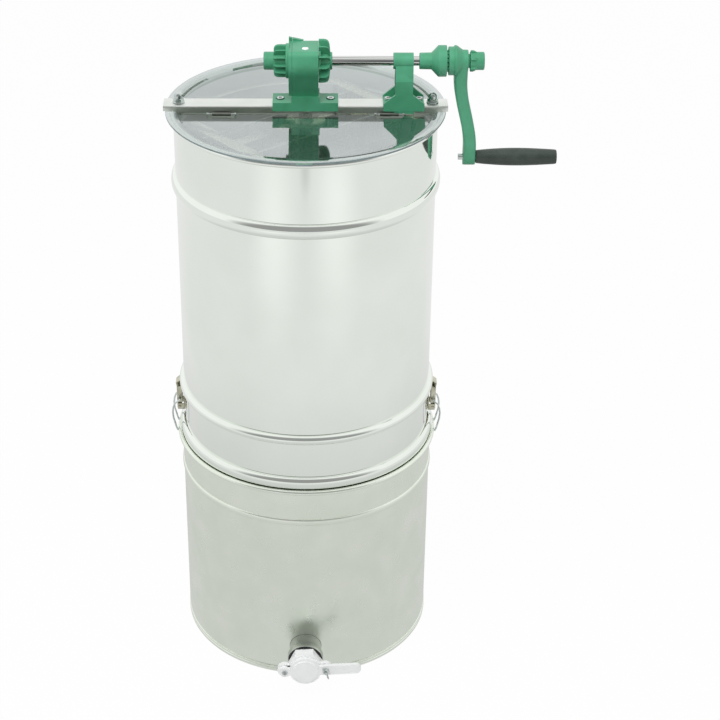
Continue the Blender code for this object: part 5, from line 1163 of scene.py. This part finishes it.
drive = {
    "shaftRadius": 6.5, "shaftStart": -53.5, "shaftEnd": 243.5, "bore": 6.8, "run": 7.1,
    "hubStart": 157, "neckEnd": 173.5, "neckRadius": 11.6, "discStart": 183, "discRadius": 21.6,
    "discEnd": 194.3, "dogs": 8, "dogHeight": 2.4, "dogInner": 11, "dogOuter": 15,
    "dogTipShare": 0.14, "dogRootShare": 0.24,
    "crankStart": 197, "crankRadius": 19.7, "flangeStart": 204, "flangeRadius": 21.6, "coneEnd": 216.5,
    "collarRadius": 15.4, "collarEnd": 223.8, "noseRadius": 9.6, "noseEnd": 226.2,
    "throw": 143, "armMiddle": 214.5, "armOffset": 16.5, "bendStart": 25, "bendLength": 102,
    "footReach": 12, "headThick": 9, "footThick": 8.8, "headWide": 15.5, "footWide": 11,
    "pinRadius": 4, "pinHeadRadius": 4.5, "pinHeadLength": 6.5, "gripStart": 240.4, "gripEnd": 354.4,
    "gripRadii": (9.3, 12.5, 10.2), "pinEnd": 348.4,
    "knobStart": 226.5, "knobEnd": 246.2, "knobRadius": 12.4, "wingRadius": 15.2, "wingEnd": 236.5,
    "wings": 6, "cupRadius": 10.1, "cupEnd": 237.5,
}


def makeDogs(name, height, rise, turn, body, nodes):
    # one tooth of the dog clutch, copied round the shaft
    v = drive
    pitch = fullTurn / v["dogs"]
    rings = []
    for radius in (v["dogInner"], v["dogOuter"]):
        ring = []
        for share, z in ((-v["dogRootShare"], height - rise / 4), (-v["dogTipShare"], height + rise),
                         (v["dogTipShare"], height + rise), (v["dogRootShare"], height - rise / 4)):
            ring.append((radius * math.cos(turn + pitch * share),
                         radius * math.sin(turn + pitch * share), z))
        rings.append(ring)
    dogs = grow(name, aroundTree, loftShape(rings), "greenNylon", {"Count": v["dogs"]})
    dogs.data.transform(millimetres(toShaft))
    fit(shade(dogs), body, "green_plastic", *nodes)


def makeClutch():
    v = drive
    shaft = newPiece("driveShaft", moved(turnShape(softened([
        (0, v["shaftEnd"]), (v["shaftRadius"], v["shaftEnd"], 0.8),
        (v["shaftRadius"], v["shaftStart"], 0.8), (0, v["shaftStart"])]), 64), toShaft),
        "groundStainless")
    fit(shade(shaft), "drive", "polished_steel", "drive_shaft")
    hub = newPiece("clutchHub", moved(turnShape(softened([
        (v["bore"], v["hubStart"]), (v["neckRadius"] - 0.4, v["hubStart"], 1),
        (v["neckRadius"], v["neckEnd"], 1), (v["discRadius"], v["discStart"], 1.2),
        (v["discRadius"], v["discEnd"], 0.8), (v["bore"], v["discEnd"])]), 96, closed=True), toShaft),
        "greenNylon")
    fit(shade(hub), "drive", "green_plastic", "clutch_hub")
    makeDogs("hubDogs", v["discEnd"], v["dogHeight"], 0, "drive", ["clutch_hub"])

    disc = turnShape(softened([
        (v["run"], v["crankStart"]), (v["crankRadius"], v["crankStart"], 0.6),
        (v["crankRadius"], v["flangeStart"], 0.6), (v["flangeRadius"], v["flangeStart"] + 1, 1.5),
        (v["flangeRadius"], v["flangeStart"] + 4, 2), (v["collarRadius"], v["coneEnd"], 1.5),
        (v["collarRadius"], v["collarEnd"], 1), (v["noseRadius"], v["collarEnd"], 0.3),
        (v["noseRadius"], v["noseEnd"], 0.5), (v["run"], v["noseEnd"])]), 96, closed=True)
    boss = newPiece("crankBoss", moved(disc, toShaft), "greenNylon")
    fit(shade(boss), "crank", "green_plastic", "crank_arm")
    makeDogs("crankDogs", v["crankStart"], -v["dogHeight"], halfTurn / v["dogs"], "crank", ["crank_arm"])


def armRings(sections=48):
    v = drive
    length = v["throw"] + v["footReach"]
    rings = []
    for step in range(sections + 1):
        share = step / sections
        drop = length * share
        bend = min(max((drop - v["bendStart"]) / v["bendLength"], 0), 1)
        middle = v["armMiddle"] + v["armOffset"] * bend * bend * (3 - 2 * bend)
        thick = v["headThick"] + (v["footThick"] - v["headThick"]) * share
        wide = v["headWide"] + (v["footWide"] - v["headWide"]) * share
        left = (length - drop) / v["footWide"]
        if left < 1:
            wide *= math.sqrt(1 - (1 - left) ** 2) * 0.9 + 0.1
        corners = softened([(thick, wide, 5), (-thick, wide, 5), (-thick, -wide, 5), (thick, -wide, 5)], 5)
        rings.append([(middle + x, y, shaftHeight - drop) for x, y in corners])
    return rings


def makeCrank():
    v = drive
    arm = newPiece("crankArm", loftShape(armRings()), "greenNylon")
    foot = v["armMiddle"] + v["armOffset"]
    pinHeight = shaftHeight - v["throw"]
    toPin = Matrix.Translation((0, 0, pinHeight)) @ Matrix.Rotation(quarterTurn, 4, "Y")
    carve(arm, moved(rodShape(v["run"], v["crankStart"], v["noseEnd"] + overrun), toShaft),
          moved(rodShape(v["pinRadius"] + gap, foot - v["headWide"], foot + v["headWide"], 32), toPin))
    fit(shade(arm, 40), "crank", "green_plastic", "crank_arm")

    inner = foot - v["footThick"] - gap
    pin = newPiece("crankPin", moved(turnShape(softened([
        (0, v["pinEnd"]), (v["pinRadius"], v["pinEnd"], 0.5), (v["pinRadius"], inner),
        (v["pinHeadRadius"], inner), (v["pinHeadRadius"], inner - v["pinHeadLength"], 0.8),
        (0, inner - v["pinHeadLength"])]), 32), toPin), "zincPlate")
    fit(shade(pin), "crank", "zinc", "crank_pin")

    start, end = v["gripStart"], v["gripEnd"]
    first, middle, last = v["gripRadii"]
    outline = [(0, end), *softened([(last - 3, end), (last, end, 2.5), (last, end - 5)])[:-1]]
    steps = 24
    for step in range(1, steps):
        share = 1 - step / steps
        base = first + (last - first) * share
        outline.append((base + (middle - base) * math.sin(share * halfTurn),
                        start + (end - start) * share))
    outline += softened([(first, start + 2), (first, start, 1), (v["pinRadius"] + gap, start, 0.5),
                         (v["pinRadius"] + gap, v["pinEnd"] + gap)])
    outline += [(0, v["pinEnd"] + gap)]
    grip = newPiece("crankGrip", moved(turnShape(outline, 72), toPin), "grainedPolypropylene")
    fit(shade(grip, 40), "grip", "dark_grip", "crank_grip")


def makeKnob():
    v = drive
    knob = newPiece("shaftKnob", moved(turnShape(softened([
        (v["bore"], v["knobEnd"], 0.4), (v["knobRadius"], v["knobEnd"], 1.8),
        (v["knobRadius"], v["knobStart"], 0.5), (v["cupRadius"], v["knobStart"]),
        (v["cupRadius"], v["cupEnd"]), (v["bore"], v["cupEnd"])]), 72, closed=True), toShaft), "greenNylon")
    fit(shade(knob), "drive", "green_plastic", "shaft_knob")
    wing = newPiece("wing", moved(slabShape(softened([
        (v["knobRadius"] - 1, v["knobStart"] + gap), (v["wingRadius"], v["knobStart"] + gap, 1),
        (v["wingRadius"], (v["knobStart"] + v["wingEnd"]) / 2, 2), (v["knobRadius"] - gap, v["wingEnd"]),
        (v["knobRadius"] - 1, v["wingEnd"])]), -1.6, 1.6), toFront))
    roundEdges(wing, 0.6)
    wings = grow("knobWings", aroundTree, takeShape(wing), "greenNylon", {"Count": v["wings"]})
    wings.data.transform(millimetres(toShaft))
    fit(shade(wings), "drive", "green_plastic", "shaft_knob")


# Cage

cage = {
    "screenOffset": 44, "halfWidth": 150, "low": 403.3, "high": 799.7, "pitch": 8, "wire": 0.5,
    "weave": 0.6,
}


def makeCage():
    v = cage
    for node, name in (("cage_top_frame", "cageTopFrame"), ("cage_bottom_frame", "cageBottomFrame")):
        dress(node, name, "nickelPlate", "brushed_steel", 0.5)
    for number in (1, 2, 3, 4):
        dress(f"cage_post_{number}", f"cagePost{number}", "drawnStainless", "brushed_steel", 0.3)
    dress("cage_shaft", "cageShaft", "groundStainless", "polished_steel", 0.4)
    wide = 2 * v["halfWidth"]
    tall = v["high"] - v["low"]
    for number, side in ((1, 1), (2, -1)):
        dress(f"cage_screen_{number}", f"cageScreen{number}", "drawnStainless", "brushed_steel", 0.5)
        woven = grow(f"screenWire{number}", meshTree, bmesh.new(), "drawnStainless", {
            "Width": wide * metresPerMm, "Height": tall * metresPerMm, "Pitch": v["pitch"] * metresPerMm,
            "Wire": v["wire"] * metresPerMm, "Weave": v["weave"] * metresPerMm})
        corner = Matrix.Translation((-v["halfWidth"], side * v["screenOffset"], v["low"]))
        woven.data.transform(millimetres(toCage @ corner))
        fit(shade(woven, 80), "cage", "brushed_steel")


# Latches

def makeLatches():
    for side in ("left", "right"):
        for part, edge in (("base", 0.4), ("lever", 0.4), ("pin", 0.3)):
            dress(f"{side}_latch_{part}", f"{side}Latch{part.capitalize()}", "nickelPlate", "nickel", edge)
        dress(f"{side}_latch_bail", f"{side}LatchBail", "zincPlate", "zinc", 0.1)


makeTank()
makeDrum()
makeGate()
print("tank, drum and gate made")
makeBar()
makeCapNuts()
makeLid(-1, "lidFront", "lid_front")
makeLid(1, "lidRear", "lid_rear")
print("bar and lids made")
makeGearbox()
makeCovers()
makeBolts()
makeSupport()
print("gearbox and support made")
makeClutch()
makeCrank()
makeKnob()
print("drive made")
makeCage()
makeLatches()
print("cage and latches made")

carried = {"drive_gear": "naturalAcetal", "cage_gear": "naturalAcetal", "cage_bush": "sinteredBronze",
           "bracket_bush": "naturalAcetal", "clutch_spring": "zincPlate"}
for node, material in carried.items():
    mesh = frame["nodes"][node].data
    mesh.materials.clear()
    mesh.materials.append(finish[material])


# Stage, lamps and camera

stage = {
    "floorHalf": 6, "floorColour": "e6e6e6", "backdropShare": 0.975,
    "nearReach": 0.50, "farReach": 1.10, "nearLevel": 0.69, "farLevel": 0.845,
    # painted shade near the tank and painted pools of light and shade, seen only in what steel mirrors
    "frontFull": -0.72, "frontEnd": -0.34, "frontLevel": 0.34,
    "pools": ((-0.78, -1.62, 0.80, 0.15), (0.78, -1.62, 0.80, 0.15), (0.01, -2.05, 0.22, -0.16)),
    "worldLevel": 0.47, "keyPower": 80, "keySize": 3.0, "keyPlace": (-0.5, -1.6, 3.4),
}
camera = {
    "azimuth": 0.65, "pitch": 30.30, "roll": -0.16, "distance": 2.3697, "height": 1.8343,
    "lens": 90.89, "shiftX": 0.0747, "shiftY": 0.0,
}


def whiteForRays(tree, kinds):
    # the share of white that camera, glossy and transmission rays see
    path = addNode(tree, "ShaderNodeLightPath")
    total = None
    for kind, share in kinds:
        part = addNode(tree, "ShaderNodeMath", {0: path.outputs[kind]}, {1: share},
                       operation="MULTIPLY").outputs[0]
        if total:
            part = addNode(tree, "ShaderNodeMath", {0: total, 1: part}, operation="MAXIMUM").outputs[0]
        total = part
    return total


def makeStage():
    half = stage["floorHalf"]
    mesh = bpy.data.meshes.new("floor")
    mesh.from_pydata([(-half, -half, 0), (half, -half, 0), (half, half, 0), (-half, half, 0)], [],
                     [(0, 1, 2, 3)])
    floor = bpy.data.objects.new("floor", mesh)
    bpy.context.scene.collection.objects.link(floor)
    material = bpy.data.materials.new("paintedFloor")
    material.use_nodes = True
    tree = material.node_tree
    tree.nodes.clear()
    # painted shade and light in what steel mirrors: the floor is painted darker near the tank as the tank's
    # own shade, with painted pools of light and shade in front of it
    place = addNode(tree, "ShaderNodeTexCoord").outputs["Object"]
    reach = addNode(tree, "ShaderNodeVectorMath", {0: place}, operation="LENGTH")
    ground = addNode(tree, "ShaderNodeMapRange", {"Value": reach.outputs["Value"]},
                     {"From Min": stage["nearReach"], "From Max": stage["farReach"],
                      "To Min": stage["nearLevel"], "To Max": stage["farLevel"]},
                     interpolation_type="SMOOTHSTEP")
    level = ground.outputs["Result"]
    for x, y, radius, change in stage["pools"]:
        away = addNode(tree, "ShaderNodeVectorMath", {0: place}, {1: (x, y, 0)}, operation="DISTANCE")
        pool = addNode(tree, "ShaderNodeMapRange", {"Value": away.outputs["Value"]},
                       {"From Max": radius, "To Min": change, "To Max": 0},
                       interpolation_type="SMOOTHSTEP")
        level = addNode(tree, "ShaderNodeMath", {0: level, 1: pool.outputs["Result"]},
                        operation="ADD").outputs[0]
    share = whiteForRays(tree, (("Is Camera Ray", stage["backdropShare"]), ("Is Glossy Ray", 1),
                                ("Is Transmission Ray", 1)))
    mirrored = addNode(tree, "ShaderNodeLightPath").outputs["Is Glossy Ray"]
    strength = addNode(tree, "ShaderNodeMapRange", {"Value": mirrored, "To Max": level}, {"To Min": 1})
    paint = addNode(tree, "ShaderNodeBsdfDiffuse", values={"Color": toLinear(stage["floorColour"])})
    glow = addNode(tree, "ShaderNodeEmission", {"Strength": strength.outputs["Result"]})
    both = addNode(tree, "ShaderNodeMixShader", {0: share, 1: paint.outputs[0], 2: glow.outputs[0]})
    addNode(tree, "ShaderNodeOutputMaterial", {"Surface": both.outputs[0]})
    mesh.materials.append(material)

    world = bpy.data.worlds.new("studio")
    world.use_nodes = True
    bpy.context.scene.world = world
    tree = world.node_tree
    # bright steel mirrors a white room that is darker at the front, behind the camera
    heading = addNode(tree, "ShaderNodeSeparateXYZ",
                      {"Vector": addNode(tree, "ShaderNodeTexCoord").outputs["Generated"]})
    room = addNode(tree, "ShaderNodeMapRange", {"Value": heading.outputs["Y"]},
                   {"From Min": stage["frontFull"], "From Max": stage["frontEnd"],
                    "To Min": stage["frontLevel"]}, interpolation_type="SMOOTHSTEP")
    share = whiteForRays(tree, (("Is Camera Ray", 1), ("Is Transmission Ray", 1)))
    level = addNode(tree, "ShaderNodeMapRange", {"Value": share}, {"To Min": stage["worldLevel"]})
    mirrored = addNode(tree, "ShaderNodeLightPath").outputs["Is Glossy Ray"]
    strength = addNode(tree, "ShaderNodeMapRange", {"Value": mirrored, "To Min": level.outputs["Result"],
                                                    "To Max": room.outputs["Result"]})
    tree.links.new(strength.outputs["Result"], tree.nodes["Background"].inputs["Strength"])
    tree.nodes["Background"].inputs["Color"].default_value = (1, 1, 1, 1)

    lamp = bpy.data.lights.new("keyLamp", "AREA")
    lamp.size = stage["keySize"]
    lamp.energy = stage["keyPower"]
    key = bpy.data.objects.new("keyLamp", lamp)
    key.location = stage["keyPlace"]
    aim = Vector((0, 0, 0.5)) - key.location
    key.rotation_euler = aim.to_track_quat("-Z", "Y").to_euler()
    key.visible_glossy = False
    bpy.context.scene.collection.objects.link(key)


def makeCamera():
    v = camera
    lens = bpy.data.cameras.new("camera")
    lens.lens = v["lens"]
    lens.shift_x = v["shiftX"]
    lens.shift_y = v["shiftY"]
    viewer = bpy.data.objects.new("camera", lens)
    turn = math.radians(v["azimuth"])
    viewer.matrix_world = (
        Matrix.Translation((v["distance"] * math.sin(turn), -v["distance"] * math.cos(turn), v["height"]))
        @ Matrix.Rotation(turn, 4, "Z") @ Matrix.Rotation(math.radians(90 - v["pitch"]), 4, "X")
        @ Matrix.Rotation(math.radians(v["roll"]), 4, "Z"))
    bpy.context.scene.collection.objects.link(viewer)
    bpy.context.scene.camera = viewer


makeStage()
makeCamera()
bpy.context.scene.view_settings.view_transform = "Standard"
print("stage and camera made")
